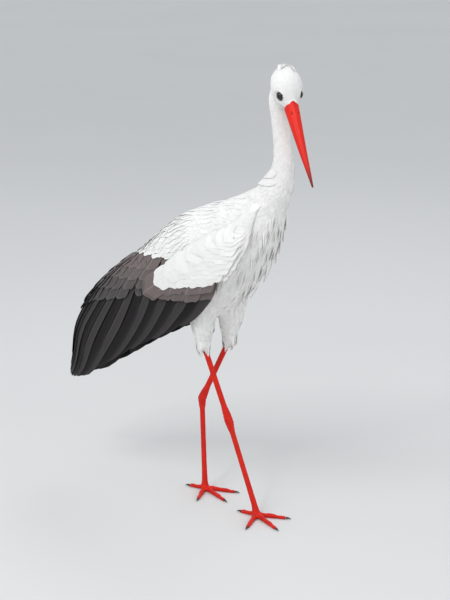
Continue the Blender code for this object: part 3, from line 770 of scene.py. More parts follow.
class Surface:
    """The skin as triangles to scatter on and to walk along."""

    def __init__(self, thing):
        mesh = thing.data
        mesh.calc_loop_triangles()
        triangles = read(mesh.loop_triangles, "vertices", 3, np.int32)
        points = read_points(mesh)
        self.tree = BVHTree.FromPolygons(points.tolist(), triangles.tolist())
        self.corners = points[triangles]
        self.middles = self.corners.mean(1)
        cross = np.cross(self.corners[:, 1] - self.corners[:, 0], self.corners[:, 2] - self.corners[:, 0])
        self.areas = np.linalg.norm(cross, axis=1) / 2
        self.normals = unit(cross)
        owners, names = nodes_tree(FLESH)
        self.nodes = np.array([names[owners.find_nearest(m)[2]] for m in self.middles])

    def nearest(self, spot):
        """The nearest point of the skin and its normal."""
        return self.tree.find_nearest(spot)[:2]

    def at_station(self, place, angle):
        """Point and normal of the skin at a station of the spine and an angle round it."""
        centre, left, up, _, (width, top, bottom) = station(SPINE, place)
        s, c = sin(radians(angle)), cos(radians(angle))
        return self.nearest(centre + left * (width * s) + up * ((top if c > 0 else bottom) * c))

    def scatter(self, chosen, gaps):
        """Evenly spread places on chosen triangles, no two nearer than the gap there, and their normals."""
        index = np.flatnonzero(chosen)
        wanted = self.areas[index] / gaps[index] ** 2 * CROWD
        number = int(wanted.sum())
        picked = RANDOM.choice(index, number, p=wanted / wanted.sum())
        a, b = RANDOM.random((2, number))
        over = a + b > 1
        a[over], b[over] = 1 - a[over], 1 - b[over]
        c = self.corners[picked]
        spots = c[:, 0] + a[:, None] * (c[:, 1] - c[:, 0]) + b[:, None] * (c[:, 2] - c[:, 0])
        gap = gaps[picked]
        cells = np.floor(spots / gap.max()).astype(int).tolist()
        around = list(product((-1, 0, 1), repeat=3))
        taken, kept = {}, []
        for i, (spot, (x, y, z)) in enumerate(zip(spots.tolist(), cells)):
            others = (other for dx, dy, dz in around for other in taken.get((x + dx, y + dy, z + dz), ()))
            if all(dist(spot, other) >= gap[i] for other in others):
                taken.setdefault((x, y, z), []).append(spot)
                kept.append(i)
        return spots[kept], self.normals[picked[kept]]

    def walk(self, starts, ways, lengths, steps, rises, freedom=0.3, sink=0.0004):
        """Centre lines that follow the skin, and the way each faces; a rise is a tip's height over it."""
        paths, ups = np.empty((2, len(starts), steps, 3))
        for i, (start, way, length) in enumerate(zip(starts, ways, lengths)):
            spot, way = Vector(start), Vector(way)
            for j in range(steps):
                t = j / (steps - 1)
                near, up = self.nearest(spot)
                held = near + up * (rises[i] * t ** 0.8 - sink * (1 - t))
                spot = held.lerp(spot, freedom if j > 1 else 0.0)
                paths[i, j], ups[i, j] = spot, up
                way = (way - up * way.dot(up)).normalized()
                spot = spot + way * (length / (steps - 1))
        return paths, ups


# ---- the lie of the feathers ----
SPINE_STEPS = np.linspace(0, len(SPINE) - 1, 261)
SPINE_CENTRES, SPINE_LEFTS, SPINE_UPS, SPINE_BACKS = (
    np.array(vectors) for vectors in list(zip(*(station(SPINE, s) for s in SPINE_STEPS)))[:4])


def on_spine(points):
    """Station, angle round the spine from the middle of the back in degrees, and the backward way there."""
    blocks = [points[start:start + 4000] for start in range(0, len(points), 4000)]
    nearest = np.concatenate([((b[:, None] - SPINE_CENTRES) ** 2).sum(2).argmin(1) for b in blocks])
    offset = points - SPINE_CENTRES[nearest]
    aside, over = ((offset * axes[nearest]).sum(1) for axes in (SPINE_LEFTS, SPINE_UPS))
    return SPINE_STEPS[nearest], np.degrees(np.arctan2(aside, over)), SPINE_BACKS[nearest]


def spine_places(stations, angles):
    return np.stack((0.5 + 0.48 * angles / 180, 0.02 + 0.96 * stations / (len(SPINE) - 1)), -1)


def hidden(tree, spots, normals, reach):
    """Whether something of the tree lies over each spot."""
    return np.array([tree.ray_cast(Vector(s) - Vector(n) * HIDDEN_START, Vector(n), reach)[0] is not None
                     for s, n in zip(spots, normals)])


def jitter(ways, normals, degrees):
    """Each way turned a little about its normal, at random."""
    turn = np.radians(RANDOM.normal(0, degrees, len(ways)))[:, None]
    flat = unit(ways - normals * (ways * normals).sum(1, keepdims=True))
    return unit(flat * np.cos(turn) + np.cross(normals, flat) * np.sin(turn))


def head_flow(spots):
    """Feathers part at the bill and run back over the skull, then down the neck."""
    away = spots - (HEAD_PLACE + HEAD_TURN @ (BILL_ROOT - (0.004, 0, 0)))
    reach = np.linalg.norm(away, axis=1, keepdims=True)
    down = np.array(station(SPINE, 1.3)[3])
    return unit(mix(unit(away), down, ease((reach - 0.045) / 0.055)))


# ---- coats ----
# Gaps between roots, lengths, and rises of the tips over the skin, at the finest place and the coarsest.
HEAD_GAPS, HEAD_LENGTHS, HEAD_RISES = (0.0015, 0.0024), (0.0032, 0.0092), (0.0009, 0.0012)
BODY_GAP = 0.175  # as a share of the length
BODY_LENGTHS = (  # stations, and the lengths there
    (0.5, 1.5, 3, 4.5, 6, 8, 10, 12, 13),
    (0.011, 0.013, 0.017, 0.023, 0.032, 0.040, 0.042, 0.038, 0.032),
)
BODY_RISES = ((1, 4, 7, 13), (0.0012, 0.0017, 0.0025, 0.0028))
BREAST_GAP, BREAST_LENGTHS, BREAST_RISES = 0.0068, (0.030, 0.058), (0.0018, 0.0034)
THIGH_GAP, THIGH_LENGTHS, THIGH_RISES = 0.0054, (0.022, 0.026), (0.0018, 0.0026)
CREST_LENGTHS, CREST_RISES = (0.015, 0.022), (0.005, 0.0115)  # least and most, at random
LENGTH_SPREAD, RISE_SPREAD = 0.15, 0.2  # at random, as shares
TUFT_BEND, CONTOUR_BEND, PLUME_BEND = 60.0, 6.0, 8.0
BREAST_FRONT = 4.3  # station where the breast's plumes start
HIDDEN_START, HIDDEN_REACH = 0.004, 0.045  # rays that look for the wings: depth under the skin, length
SCAPULAR_COVER = (8.8, 75)  # station and angle: the scapulars cover what lies behind and above
CRESTS = (((-0.036, -0.014, 0.019), 18), ((-0.020, 0.018, 0.025), 14))  # place on the head, plumes
FOLDS = (  # of the nape: station on the middle line, fall a degree, span
    (5.20, 0.0072, 84),
    (5.82, 0.0092, 96),
)
FOLD_STEP = 3.5  # degrees
LOCKS = (  # root's station and angle, length, tip's stand off the breast
    (6.15, 141, 0.050, 0.005), (6.60, 139, 0.056, 0.008), (6.98, 143, 0.056, 0.009),
    (7.38, 140, 0.058, 0.010), (8.12, 141, 0.060, 0.010), (6.40, 166, 0.050, 0.005),
    (7.05, 168, 0.056, 0.007), (7.75, 164, 0.058, 0.008), (8.50, 168, 0.056, 0.008),
    (6.80, 117, 0.050, 0.003), (7.65, 118, 0.054, 0.004), (8.70, 122, 0.054, 0.005),
)
LOCK_PLUMES = 22
LOCK_WIDTH = 0.0080
LOCK_TURN = 65.0  # how far a lock's outermost plumes face aside, degrees
HEM_RINGS = 5
HEM_PLUMES = 26  # in one ring
HEM_LOCKS = 5  # ragged points round the hem
HEM_REACH = (-0.002, 0.022)  # of its plumes past the thigh's end, between the points and in them
ROOT_SINK = 0.0006


def build_head_coat(surface, material):
    """Very short feathers, smallest round the bill and the eyes."""
    local = in_head(surface.middles)
    over = local[:, 2] - BILL_AXIS_UP
    height = np.where(over > 0, BILL_HEIGHTS["upper"], BILL_HEIGHTS["lower"])
    clear = np.hypot(local[:, 1] / BILL_HALF_WIDTH, over / height) > 1.02
    clear |= local[:, 0] < BILL_BASE - 0.002
    line, t = gape_gap(surface.middles)
    parted = (line < 0.0017) & (t < 0.85) & (np.abs(local[:, 1]) > 0.008)
    arch = shield_arch(np.arctan2(over, local[:, 1]))
    parted |= local[:, 0] > BILL_BASE + 0.002 - (SHIELD_LENGTH + 0.003) * arch
    chosen = (surface.nodes == "head") & (eye_gap(local) > EYE_RADIUS + 0.0012) & clear & ~parted
    gap = mix(*HEAD_GAPS, ease((bill_gap(local) - 0.012) / 0.07))
    spots, normals = surface.scatter(chosen, gap)
    where = in_head(spots)
    size = ease((bill_gap(where) - 0.010) / 0.075)
    length = mix(*HEAD_LENGTHS, size) * vary(LENGTH_SPREAD, len(spots))
    u = 0.5 + 0.45 * np.arctan2(where[:, 1], where[:, 2]) / pi
    v = 0.05 + 0.9 * np.clip((where[:, 0] + 0.06) / 0.11, 0, 1)
    coat = Coat(surface)
    coat.grow("tuft", spots, jitter(head_flow(spots), normals, 6), length, 0.26,
              mix(*HEAD_RISES, size), np.stack((u, v), 1), TUFT_BEND, sink=0.0001)
    add_crest(coat)
    return coat, coat.build("coat_head", material)


def add_crest(coat):
    """Two small ruffled tufts on the crown."""
    spots, ways = [], []
    for place, count in CRESTS:
        for _ in range(count):
            spots.append(HEAD @ (Vector(place) + Vector(RANDOM.normal(0, 0.0026, 3))))
            ways.append(HEAD.to_3x3() @ Vector((-1, RANDOM.normal(0, 0.2) + 14 * place[1], 0.9)))
    n = len(spots)
    length, rise = RANDOM.uniform(*CREST_LENGTHS, n), RANDOM.uniform(*CREST_RISES, n)
    places = np.stack((RANDOM.uniform(0.3, 0.7, n), np.full(n, 0.985)), 1)
    coat.grow("tuft", spots, ways, length, 0.095, rise, places, TUFT_BEND, freedom=0.85)


def body_size(stations):
    """Length of a contour feather at each station."""
    return np.interp(stations, *BODY_LENGTHS)


def add_folds(coat):
    """Two short folds round the nape: rows of feathers with raised tips."""
    for middle, fall, span in FOLDS:
        angles = np.arange(-span, span + 1, FOLD_STEP)
        stations = np.array([middle - fall * abs(angle) + RANDOM.normal(0, 0.006) for angle in angles])
        lengths = body_size(stations)
        backs = [station(SPINE, place)[3] for place in stations]
        spots = [coat.surface.at_station(place, angle)[0] - back * length
                 for place, angle, back, length in zip(stations, angles, backs, lengths)]
        fade = np.sqrt(np.maximum(np.cos(angles / span * pi / 2), 0))
        coat.grow("contour", spots, backs, lengths, 0.27, 0.0022 + 0.0036 * fade,
                  spine_places(stations, angles), CONTOUR_BEND)


def build_body_coat(surface, material, shadow):
    """Contour feathers from the neck to the rump, but not where the wings hide them."""
    gap = body_size(on_spine(surface.middles)[0]) * BODY_GAP
    made = []
    for name in ("neck", "trunk"):
        spots, normals = surface.scatter(surface.nodes == name, gap)
        stations, angles, backs = on_spine(spots)
        covered = (stations >= SCAPULAR_COVER[0]) & (np.abs(angles) <= SCAPULAR_COVER[1])
        seen = ~hidden(shadow, spots, normals, HIDDEN_REACH) & ~covered
        spots, stations, angles = spots[seen], stations[seen], angles[seen]
        length = body_size(stations) * vary(LENGTH_SPREAD, len(spots))
        ways = jitter(backs[seen], normals[seen], 4)
        rise = np.interp(stations, *BODY_RISES) * vary(RISE_SPREAD, len(spots))
        coat = Coat(surface)
        coat.grow("contour", spots, ways, length, 0.30, rise, spine_places(stations, angles), CONTOUR_BEND)
        if name == "neck":
            add_folds(coat)
        made.append((coat, coat.build(f"coat_{name}", material)))
    return made


def add_plumes(coat, plumes, half_width):
    """Plumes from rows of root, point that draws them aside, tip, ways they face and place on the map."""
    roots, draws, tips, ups, places = zip(*plumes)
    t = np.linspace(0, 1, vane_steps("plume"))[:, None]
    roots, draws, tips = (np.asarray(p, float)[:, None] for p in (roots, draws, tips))
    paths = roots * (1 - t) ** 2 + draws * 2 * t * (1 - t) + tips * t ** 2
    coat.add("plume", paths, ups, half_width, places, bend=PLUME_BEND)


def build_hackles(surface, material):
    """Long pointed plumes over the breast, and locks of them whose tips stand out."""
    stations, angles, _ = on_spine(surface.middles)
    front = (np.abs(angles) > 112) & (stations > BREAST_FRONT) & (stations < 9.0)
    chosen = front & np.isin(surface.nodes, ("neck", "trunk"))
    spots, normals = surface.scatter(chosen, np.full(len(chosen), BREAST_GAP))
    here, around, backs = on_spine(spots)
    length = mix(*BREAST_LENGTHS, ease((here - BREAST_FRONT) / 2.6)) * vary(0.1, len(spots))
    ways = jitter(unit(backs + np.array((0, 0, -0.45))), normals, 4)
    rise = mix(*BREAST_RISES, ease((here - BREAST_FRONT) / 2.0)) * vary(RISE_SPREAD, len(spots))
    coat = Coat(surface)
    coat.grow("plume", spots, ways, length, 0.095, rise, spine_places(here, around), PLUME_BEND,
              freedom=0.35)
    for side in SIDES.values():
        for place, angle, reach, stand in LOCKS:
            add_lock(coat, place, side * angle, reach, stand)
    return coat, coat.build("coat_hackles", material)


def add_lock(coat, place, angle, length, stand):
    """Plumes that run together into one point."""
    near, normal = coat.surface.at_station(place, angle)
    way = station(SPINE, place)[3] * 0.5 + Vector((0, 0, -1))
    way = (way - normal * way.dot(normal)).normalized()
    aside = way.cross(normal)
    tip = near + way * length + normal * stand
    plumes = []
    for i in range(LOCK_PLUMES):
        share = 2 * (i + 0.5) / LOCK_PLUMES - 1
        start = near + aside * (share * LOCK_WIDTH) + way * RANDOM.uniform(-0.010, 0.006)
        root, up = coat.surface.nearest(start)
        root = root - up * ROOT_SINK
        end = tip + aside * (share * 0.0022) - way * (RANDOM.uniform(0, 0.009) + 0.007 * abs(share))
        end -= normal * RANDOM.uniform(0, 0.0025)
        draw = root.lerp(end, 0.5) + aside * (share * 0.0034) + normal * 0.0032
        turn = radians(LOCK_TURN * share)
        slanted = normal * cos(turn) + aside * sin(turn)
        ups = [normal.lerp(slanted, min(j / 3, 1)) for j in range(vane_steps("plume"))]
        plumes.append((root, draw, end, ups, spine_places(place, angle)))
    add_plumes(coat, plumes, length * 0.042)


def build_thigh_coat(surface, material, side):
    """Feathers that run down the thigh and end in a ragged hem over the bare leg."""
    node = f"thigh_{side}"
    low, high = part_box(node)
    end = node_end(node, 0.004)
    chosen = (surface.nodes == node) & (surface.middles[:, 2] > low.z + 0.012)
    spots, normals = surface.scatter(chosen, np.full(len(chosen), THIGH_GAP))
    ways = jitter(unit(np.array(end) - np.array((0, 0, 0.06)) - spots), normals, 5)
    t = ease((spots[:, 2] - low.z) / 0.09)
    length = mix(*THIGH_LENGTHS, t) * vary(LENGTH_SPREAD, len(spots))
    rise = mix(*THIGH_RISES, t) * vary(RISE_SPREAD, len(spots))
    around = np.arctan2(spots[:, 1] - end.y, spots[:, 0] - end.x)
    places = np.stack((0.5 + 0.48 * around / pi, 0.10 + 0.84 * (spots[:, 2] - low.z) / (high.z - low.z)), 1)
    coat = Coat(surface)
    coat.grow("contour", spots, ways, length, 0.29, rise, places, 8.0)
    add_hem(coat, end, (box_centre(f"shank_{side}") - end).normalized(), low.z)
    return coat, coat.build(f"coat_thigh_{side}", material)


def add_hem(coat, end, leg, bottom):
    """Rings of plumes that close in on the leg and run together into a few ragged points."""
    plumes = []
    for ring, i in product(range(HEM_RINGS), range(HEM_PLUMES)):
        height = bottom + mix(0.004, 0.028, ring / (HEM_RINGS - 1))
        a = 2 * pi * (i + 0.5 * (ring % 2) + RANDOM.normal(0, 0.1)) / HEM_PLUMES
        out = Vector((cos(a), sin(a), 0))
        root, up = coat.surface.nearest(Vector((end.x, end.y, height)) + out * 0.03)
        lock = 0.5 + 0.5 * cos(HEM_LOCKS * a + 1.0)
        reach = mix(*HEM_REACH, lock ** 1.3) * (1 - 0.5 * ring / HEM_RINGS) + RANDOM.normal(0, 0.0012)
        drawn = a - 0.20 * sin(HEM_LOCKS * a + 1.0)
        aside = Vector((cos(drawn), sin(drawn), 0))
        tip = end + leg * reach + aside * mix(0.0110, 0.0090, lock) + aside * (0.0010 * ring)
        place = (0.5 + 0.48 * ((a + pi) % (2 * pi) - pi) / pi, 0.03 + 0.012 * ring)
        plumes.append((root - up * ROOT_SINK, root.lerp(tip, 0.5) + up * 0.0030, tip,
                       [out.lerp(up, 0.3)] * vane_steps("plume"), place))
    add_plumes(coat, plumes, 0.0029)


# ---- wing feathers ----
REAR_HEIGHT = 0.0062  # of the plumage where the flight feathers come out of it


class Panel:
    """Part of a wing; a share v runs across it from its upper edge, 0, to its lower one, 1.

    For a share, first, white_end and end give the rows where it begins, where white ends and where it ends.
    For a row, top and low give the angles of its edges. Depth is the plate's, rim the share of the height
    that is left at the lower edge, and inset how far in from the upper edge the uppermost feathers lie, in
    half widths.
    """

    def __init__(self, first, white_end, end, top, low, depth, rim, inset):
        self.first, self.white_end, self.end, self.top, self.low = first, white_end, end, top, low
        self.depth, self.rim, self.inset = depth, rim, inset

    def angle(self, row, v):
        return mix(self.top(row), self.low(row), v)

    def height(self, row, v):
        """Height of the plumage over the wing bed."""
        front = float(ease((row - self.first(v)) / 0.9))
        rear = float(ease((row - self.end(v) + 0.6) / 1.0))
        rim = mix(self.rim, 1.0, float(ease((1 - v) / 0.16)))
        return mix(self.depth * front, REAR_HEIGHT, rear) * rim


COVERTS = Panel(lambda v: COVERTS_START + COVERTS_BOW * (2 * v - 1) ** 2, lambda v: mix(4.82, 2.85, v),
                lambda v: mix(5.3, 3.4, v), coverts_top, lower_edge, 0.0108, 0.45, 0.6)
SCAPULARS = Panel(lambda v: 2.6 + 0.5 * v, lambda v: 5.6 - 1.5 * v - 1.1 * v ** 4,
                  lambda v: mix(8.2, 5.3, v), lambda row: TOP_EDGE, lambda row: coverts_top(row) + 7,
                  0.0080, 0.35, 0.35)
WHITE_ROWS = (  # panel, rows, spacing of the first and of the last, length of both, zone of the map
    (COVERTS, 20, (0.0100, 0.0340), (0.024, 0.078), 0.02),
    (SCAPULARS, 18, (0.0120, 0.0360), (0.032, 0.094), 0.27),
)
BANDS = (  # panel, rows behind the end of white at both edges, length, marking
    (COVERTS, (0.28, 0.33), 0.078, BROWN),
    (COVERTS, (0.56, 0.68), 0.082, 0.50),
    (SCAPULARS, (0.74, 0.62), 0.110, BROWN),
    (SCAPULARS, (1.36, 1.20), 0.112, 0.51),
    (SCAPULARS, (1.92, 1.75), 0.115, 0.66),
    (SCAPULARS, (2.52, 2.30), 0.120, DARK),
)
BAND_SPACING = 0.037
BAND_ZONE = 0.52
BAND_RISES = (-0.0052, 0.0002)  # of the root and the tip over the plumage
WING_SKEW = 230.0
WING_LEAN = 0.028
FLIGHT_COUNT = 16
FLIGHT_LEAN = 0.10
TAIL_FEATHERS = 12


def bed_line(side, start, end, height, rises, steps):
    """Centre line over the wing bed between two (row, angle) places, and the way it faces."""
    points, ups = [], []
    for t in np.linspace(0, 1, steps):
        row, angle = mix(start[0], end[0], t), mix(start[1], end[1], t)
        lift = height(row) + mix(*rises, t ** 0.8)
        here = bed_point(side, row, angle, lift)
        along = bed_point(side, row + 0.03, angle, lift) - here
        around = bed_point(side, row, angle + 1.0, lift) - here
        points.append(here)
        ups.append((along.cross(around) * -side).normalized())
    return points, ups


def rows_per_metre(side, row, angle):
    return 0.05 / (bed_point(side, row + 0.05, angle, 0) - bed_point(side, row, angle, 0)).length


def degrees_per_metre(side, row, angle):
    return 1.0 / (bed_point(side, row, angle + 1.0, 0) - bed_point(side, row, angle, 0)).length


def feather_row(coat, side, panel, tip_row, spacing, length, rises, marking, shape, shift, zone, skew):
    """One row of feathers across a panel, with its tips at the row tip_row(v).

    Skew is how far down the wing a tip lies from its root, in degrees for each metre of feather. The
    uppermost feathers run along the panel's upper edge instead, with their own edges on it.
    """
    samples = [bed_point(side, tip_row(v), panel.angle(tip_row(v), v), 0) for v in np.linspace(0, 1, 13)]
    width = sum((a - b).length for a, b in zip(samples, samples[1:]))
    count = max(int(round(width / spacing)), 2)
    half = 0.76 * spacing
    feathers = []
    for i in range(count):
        v = min(max((i + shift + RANDOM.normal(0, 0.05)) / count, 0.0), 1.0)
        row = tip_row(v) + RANDOM.normal(0, 0.015)
        turned = skew * float(ease(v / 0.4))
        back = length * RANDOM.uniform(0.94, 1.06) * rows_per_metre(side, row, panel.angle(row, v))
        back *= cos(radians(min(turned / 8, 40)))
        inset = panel.inset * half * degrees_per_metre(side, row, panel.top(row))
        angle = max(panel.angle(row, v), panel.top(row) + inset)
        start = (row - back, max(angle - turned * length, panel.top(row - back) + inset))
        line = bed_line(side, start, (row, angle), lambda r: panel.height(r, v), rises, vane_steps(shape))
        feathers.append((*line, (zone + 0.22 * v, 0.03 + 0.94 * min(max((row - back) / 10, 0), 1))))
    paths, ups, places = zip(*feathers)
    coat.add(shape, paths, ups, half, places, marking, bend=2.0, lean=WING_LEAN * side)


def build_wing_coat(side_name, material):
    """Small coverts in front, larger ones behind, then scalloped brown and dark rows, on both panels."""
    side = SIDES[side_name]
    coat = Coat()
    for panel, rows, spacing, length, zone in WHITE_ROWS:
        for k in range(rows):
            q = ((k + 1) / rows) ** 1.2
            root_rise = mix(-0.0075, -0.0042, min(q / 0.35, 1))
            feather_row(coat, side, panel, lambda v: mix(panel.first(v) - 0.5, panel.white_end(v), q),
                        mix(*spacing, min(q / 0.8, 1.0)), mix(*length, q), (root_rise, 0.0004), WHITE,
                        "covert" if q < 0.5 else "wide", 0.5 * (k % 2) + 0.25, zone, WING_SKEW * q)
    for k, (panel, behind, length, marking) in enumerate(BANDS):
        feather_row(coat, side, panel, lambda v: panel.white_end(v) + mix(*behind, v), BAND_SPACING, length,
                    BAND_RISES, marking, "wide", 0.5 * (k % 2) + 0.25, BAND_ZONE, WING_SKEW)
    return coat, coat.build(f"coat_wing_{side_name}", material)


def flight_feather(k):
    """Root, tip and half width of a flight feather, k from 0 for the lowest and shortest to 1."""
    root_row = mix(2.9, 7.0, k ** 0.9)
    root_angle = mix(lower_edge(root_row) - 4, 14, k ** 0.85)
    if k < 0.5:
        tip_row = mix(4.9, 8.7, (k / 0.5) ** 0.85)
        tip_angle = lower_edge(tip_row) - 1.0
    else:
        t = (k - 0.5) / 0.5
        tip_row = 8.7 + 1.15 * sin(pi * min(t * 0.78 + 0.08, 1)) ** 0.7
        tip_angle = mix(lower_edge(8.7) - 3, 24, t ** 1.1)
    return (root_row, root_angle), (tip_row, tip_angle), mix(0.0205, 0.0175, k)


def build_flight_feathers(side_name, material):
    """Long dark feathers stacked from the lower edge of the wing up to its top."""
    side = SIDES[side_name]
    feathers = []
    for i in range(FLIGHT_COUNT):
        k = i / (FLIGHT_COUNT - 1)
        start, tip, half = flight_feather(k)
        rises = (mix(0.0008, 0.0030, k), mix(0.0012, 0.0058, k))
        line = bed_line(side, start, tip, lambda r: 0.0, rises, vane_steps("blade"))
        feathers.append((*line, half, (0.8 + 0.17 * k, 0.5), BLACK if i % 2 else 0.80))
    coat = Coat()
    coat.add("blade", *zip(*feathers), bend=4.0, lean=FLIGHT_LEAN * side, keel=0.0005)
    return coat, coat.build(f"flight_feathers_{side_name}", material)


def build_tail(material):
    """White tail feathers in a narrow fan, the middle pair on top."""
    centre, left, up, back, _ = station(SPINE, 12.6)
    steps = vane_steps("blade")
    paths, places = [], []
    for i in range(TAIL_FEATHERS):
        share = (i + 0.5) / TAIL_FEATHERS * 2 - 1
        run = 0.158 - 0.016 * share ** 2
        paths.append([centre + back * (run * t) + left * (share * mix(0.010, 0.026, t))
                      - up * (0.006 * t * t + 0.0045 * abs(share) - 0.003)
                      for t in np.linspace(0, 1, steps)])
        places.append((0.1 + 0.8 * i / TAIL_FEATHERS, 0.5))
    coat = Coat()
    coat.add("blade", paths, [[up] * steps] * TAIL_FEATHERS, 0.0135, places, bend=6.0, keel=0.0003)
    return coat, coat.build("tail_feathers", material)


# ---- bill, eyes, claws ----
BILL_RINGS, BILL_AROUND, SHIELD_RINGS = 112, 46, 6
BILL_NARROWING = 0.14  # of its root under the feathers
MOUTH_PAINTED_SHADE = 0.65  # painted shade: how dark the line where the mandibles meet is painted
EYE_RINGS, EYE_AROUND = 40, 48
EYE_POLE = 0.02  # radius of the flat ends, as an angle
CORNEA_BULGE = 0.0007
IRIS_ANGLE = 0.78


def bill_section(t, upper, angle):
    """Point of a mandible's surface at a share of its length and an angle from its left edge, 0 to pi."""
    taper = 1 - t
    part = "upper" if upper else "lower"
    width = BILL_HALF_WIDTH * mix(0.10, 1, taper ** BILL_TAPER["width"])
    height = BILL_HEIGHTS[part] * mix(0.12, 1, taper ** BILL_TAPER[part])
    middle = BILL_AXIS_UP + 0.004 * float(ease((t - 0.45) / 0.55))
    off_ridge = angle - pi / 2
    if upper:
        flank = -0.0007 * bell(abs(off_ridge) - 0.42, 0.2) * taper
        swell = 0.0011 * bell(off_ridge, 0.17) * taper ** 0.3 + flank
    else:
        swell = -0.0006 * bell(off_ridge, 0.14) * taper
    rise = 0.0002 + height * sin(angle) ** 0.85 + swell
    return width * cos(angle), middle + (rise if upper else -rise)


def nostril(t, angle):
    """Depth of the nostril slits, one on either side of the ridge."""
    return float(np.exp(-((t - 0.105) / 0.020) ** 4) * bell(abs(angle - pi / 2) - 0.55, 0.11))


def shield_arch(angle):
    """How far back the bill's horn runs on the forehead at an angle round it, 1 along the ridge."""
    return bell(angle - pi / 2, 0.75)


def shield_point(surface, place, angle, share):
    """The horn's rounded root on the forehead: it lies on the skin there, furthest back in the middle."""
    arch = float(shield_arch(angle))
    back = HEAD.to_3x3() @ Vector((-1, 0, 0.15))
    near, up = surface.nearest(place + back * ((SHIELD_LENGTH * arch - ROOT_DEPTH) * share))
    return place.lerp(near + up * mix(0.0021, -0.0004, share ** 3), arch * min(3 * share, 1.0))


def build_mandible(name, node, upper, material, surface):
    """Half of the bill; its root runs in under the feathers and, above, back on the forehead."""
    reach = 1.0 if upper else 0.985
    points, horn = [], []
    for i, j in product(range(-SHIELD_RINGS, BILL_RINGS + 1), range(BILL_AROUND)):
        t = max(i, 0) / BILL_RINGS * reach
        behind = max(-i, 0) / SHIELD_RINGS
        angle = pi * j / (BILL_AROUND - 1)
        y, z = bill_section(t, upper, angle)
        hole = nostril(t, angle) if upper else 0.0
        z = mix(z - NOSTRIL_DEPTH * hole, BILL_AXIS_UP, BILL_NARROWING * behind)
        forward = BILL_BASE + BILL_LENGTH * t - ROOT_DEPTH * behind
        place = HEAD @ Vector((forward, y * (1 - BILL_NARROWING * behind), z))
        if upper and behind:
            place = shield_point(surface, place, angle, behind)
        points.append(place)
        # the third number is painted shade: the nostrils' depth, or the dark line where the mandibles meet
        horn.append((t, angle, max(hole, MOUTH_PAINTED_SHADE if j in (0, BILL_AROUND - 1) else 0.0)))
    thing = add_object(name, tube(name, points, BILL_AROUND, "horn", horn), material)
    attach(thing, "root")
    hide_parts(node)


def build_eye(side_name, material):
    """Ball with a bulging cornea, looking out through the lids."""
    way = Vector(mirrored(EYE_WAY, SIDES[side_name])).normalized()
    turn = HEAD.to_3x3() @ Vector((0, 0, 1)).rotation_difference(way).to_matrix()
    centre = box_centre(f"eye_{side_name}")
    points, iris = [], []
    for i, j in product(range(EYE_RINGS), range(EYE_AROUND)):
        a, b = mix(EYE_POLE, pi - EYE_POLE, i / (EYE_RINGS - 1)), 2 * pi * j / EYE_AROUND
        r = EYE_RADIUS + CORNEA_BULGE * float(ease((0.80 - a) / 0.45))
        points.append(centre + turn @ Vector((sin(a) * cos(b), sin(a) * sin(b), EYE_DEPTH * cos(a))) * r)
        iris.append((min(a / IRIS_ANGLE, 2.0), b, 0))
    name = f"eyeball_{side_name}"
    thing = add_object(name, tube(name, points, EYE_AROUND, "iris", iris), material)
    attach(thing, "root")
    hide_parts(f"eye_{side_name}")


def build_claws(side_name, material):
    """The four claws of a foot, rounded off."""
    names = [f"claw_{side_name}_{toe}" for toe in TOES]
    shell = joined_nodes(names)
    bmesh.ops.remove_doubles(shell, verts=shell.verts, dist=1e-6)
    name = f"claws_{side_name}"
    thing = add_object(name, poured(shell, bpy.data.meshes.new(name)), material)
    rounder = thing.modifiers.new("rounder", "SUBSURF")
    rounder.levels = rounder.render_levels = 2
    apply_modifiers(thing)
    thing.data.shade_smooth()
    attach(thing, "root")
    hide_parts(*names)


# ---- stage ----
CAMERA_WAY = (35.0, 15.0)  # azimuth and elevation, degrees
CAMERA_DISTANCE = 3.75
CAMERA_LENS = 100.0
AIM_SHARE = (0.597, 0.565, 0.470)  # the point looked at, in shares of the CAD box
LIGHTS = (  # name, azimuth and elevation, distance, size, power
    ("key", (-12, 50), 3.2, 1.6, 30),
    ("catch", (5, 42), 2.6, 0.35, 7),
    ("fill", (80, 25), 3.6, 2.6, 16),
    ("rim", (200, 45), 3.4, 1.6, 14),
)
FLOOR_SIZE = 30.0
SKY_COLOUR = (0.86, 0.89, 0.93, 1)
SKY_STRENGTH = 0.86


def aimed(name, data, way, distance, target):
    """Object at an azimuth and elevation from the target, turned to face it."""
    a, e = (radians(d) for d in way)
    back = Vector((sin(a) * cos(e), -cos(a) * cos(e), sin(e)))
    thing = add_object(name, data)
    thing.location = target + back * distance
    thing.rotation_euler = (-back).to_track_quat("-Z", "Y").to_euler()
    return thing


def build_camera():
    low, high = (Vector(c) for c in CAD_BOX)
    target = Vector(mix(low[i], high[i], AIM_SHARE[i]) for i in range(3))
    camera = bpy.data.cameras.new("camera")
    camera.lens = CAMERA_LENS
    camera.sensor_width = 36.0
    camera.clip_end = 100.0
    bpy.context.scene.camera = aimed("camera", camera, CAMERA_WAY, CAMERA_DISTANCE, target)
    return target


def build_stage(target):
    shell = bmesh.new()
    bmesh.ops.create_grid(shell, x_segments=8, y_segments=8, size=FLOOR_SIZE)
    s = Shader("floor", 0.8)
    pale = s.ramp(s.noise(0.8, 2.0), (0.3, (0.66, 0.66, 0.65)), (0.7, (0.68, 0.68, 0.67)))
    s.set(s.surface, Base_Color=pale)
    floor = add_object("floor", poured(shell, bpy.data.meshes.new("floor")), s.material)
    world = bpy.data.worlds.new("studio")
    world.use_nodes = True
    sky = world.node_tree.nodes["Background"]
    sky.inputs["Color"].default_value = SKY_COLOUR
    sky.inputs["Strength"].default_value = SKY_STRENGTH
    bpy.context.scene.world = world
    bpy.context.scene.view_settings.view_transform = "Standard"
    for name, way, distance, size, power in LIGHTS:
        light = bpy.data.lights.new(name, "AREA")
        light.shape = "DISK"
        light.size = size
        light.energy = power
        aimed(name, light, way, distance, target)


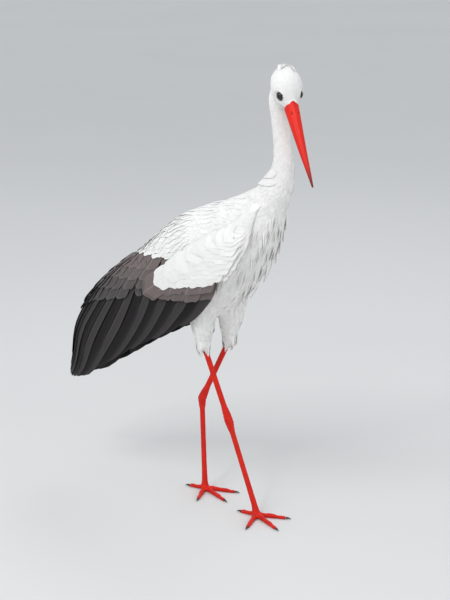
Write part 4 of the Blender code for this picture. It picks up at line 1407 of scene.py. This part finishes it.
# ---- whole bird ----
def finish_skin(skin, sight, gape, coats, materials):
    """Materials by region, and the coat's markings carried on to the skin beneath it."""
    mesh = skin.data
    points = read_points(mesh)
    marks = np.concatenate([m for coat in coats for m in coat.markings])
    centres = np.concatenate([c for coat in coats for c in coat.centres])
    tree = KDTree(len(centres))
    for i, centre in enumerate(centres):
        tree.insert(centre, i)
    tree.balance()
    marking = np.array([marks[tree.find(p)[1]] for p in points])
    local = in_head(points)
    ahead = ease(local[:, 0] / EYE_PLACE[0])
    bare = ease((EYE_OPENING + 0.0018 + 0.0010 * ahead - sight) / 0.0007)
    bare = np.maximum(bare, ease((gape - 0.15) / 0.25) * (np.abs(local).max(1) < HEAD_REACH))
    set_vectors(mesh, "barbs", np.stack((bare, np.zeros(len(points)), marking), 1))
    for m in materials:
        mesh.materials.append(m)
    legs = points[:, 2] < THIGH_END + 0.018
    for face in mesh.polygons:
        face.material_index = int(legs[face.vertices[0]])


def build_bird():
    white = feather_material("white_feather", 0.72, 0.0016, 0.25, Sheen_Weight=0.15)
    wing = feather_material("wing_feather", 0.66, 0.0018, 0.16)
    flight = feather_material("flight_feather", 0.58, 0.0018, 0.10, Specular_IOR_Level=0.16)
    fine = feather_material("head_feather", 0.76, 0.0007, 0.25, Sheen_Weight=0.15)
    skin, sight, gape = build_skin()
    surface = Surface(skin)
    shadow = nodes_tree([*WINGS, *(f"wing_{side}_flight_feathers" for side in SIDES)])[0]
    coats = [build_head_coat(surface, fine), *build_body_coat(surface, white, shadow),
             build_hackles(surface, white)]
    tail = build_tail(white)
    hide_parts("tail")
    for side in SIDES:
        coats.append(build_thigh_coat(surface, white, side))
        coats.append(build_wing_coat(side, wing))
        feathers = build_flight_feathers(side, flight)
        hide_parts(f"wing_{side}_flight_feathers")
        build_eye(side, eye_material())
        build_claws(side, claw_material())
    finish_skin(skin, sight, gape, [c for c, _ in coats], [skin_material(), leg_material()])
    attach(skin, "root")
    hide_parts(*FLESH)
    horn = bill_material()
    build_mandible("bill_upper_horn", "bill_upper", True, horn, surface)
    build_mandible("bill_lower_horn", "bill_lower", False, horn, surface)


aim = build_camera()
build_stage(aim)
build_bird()
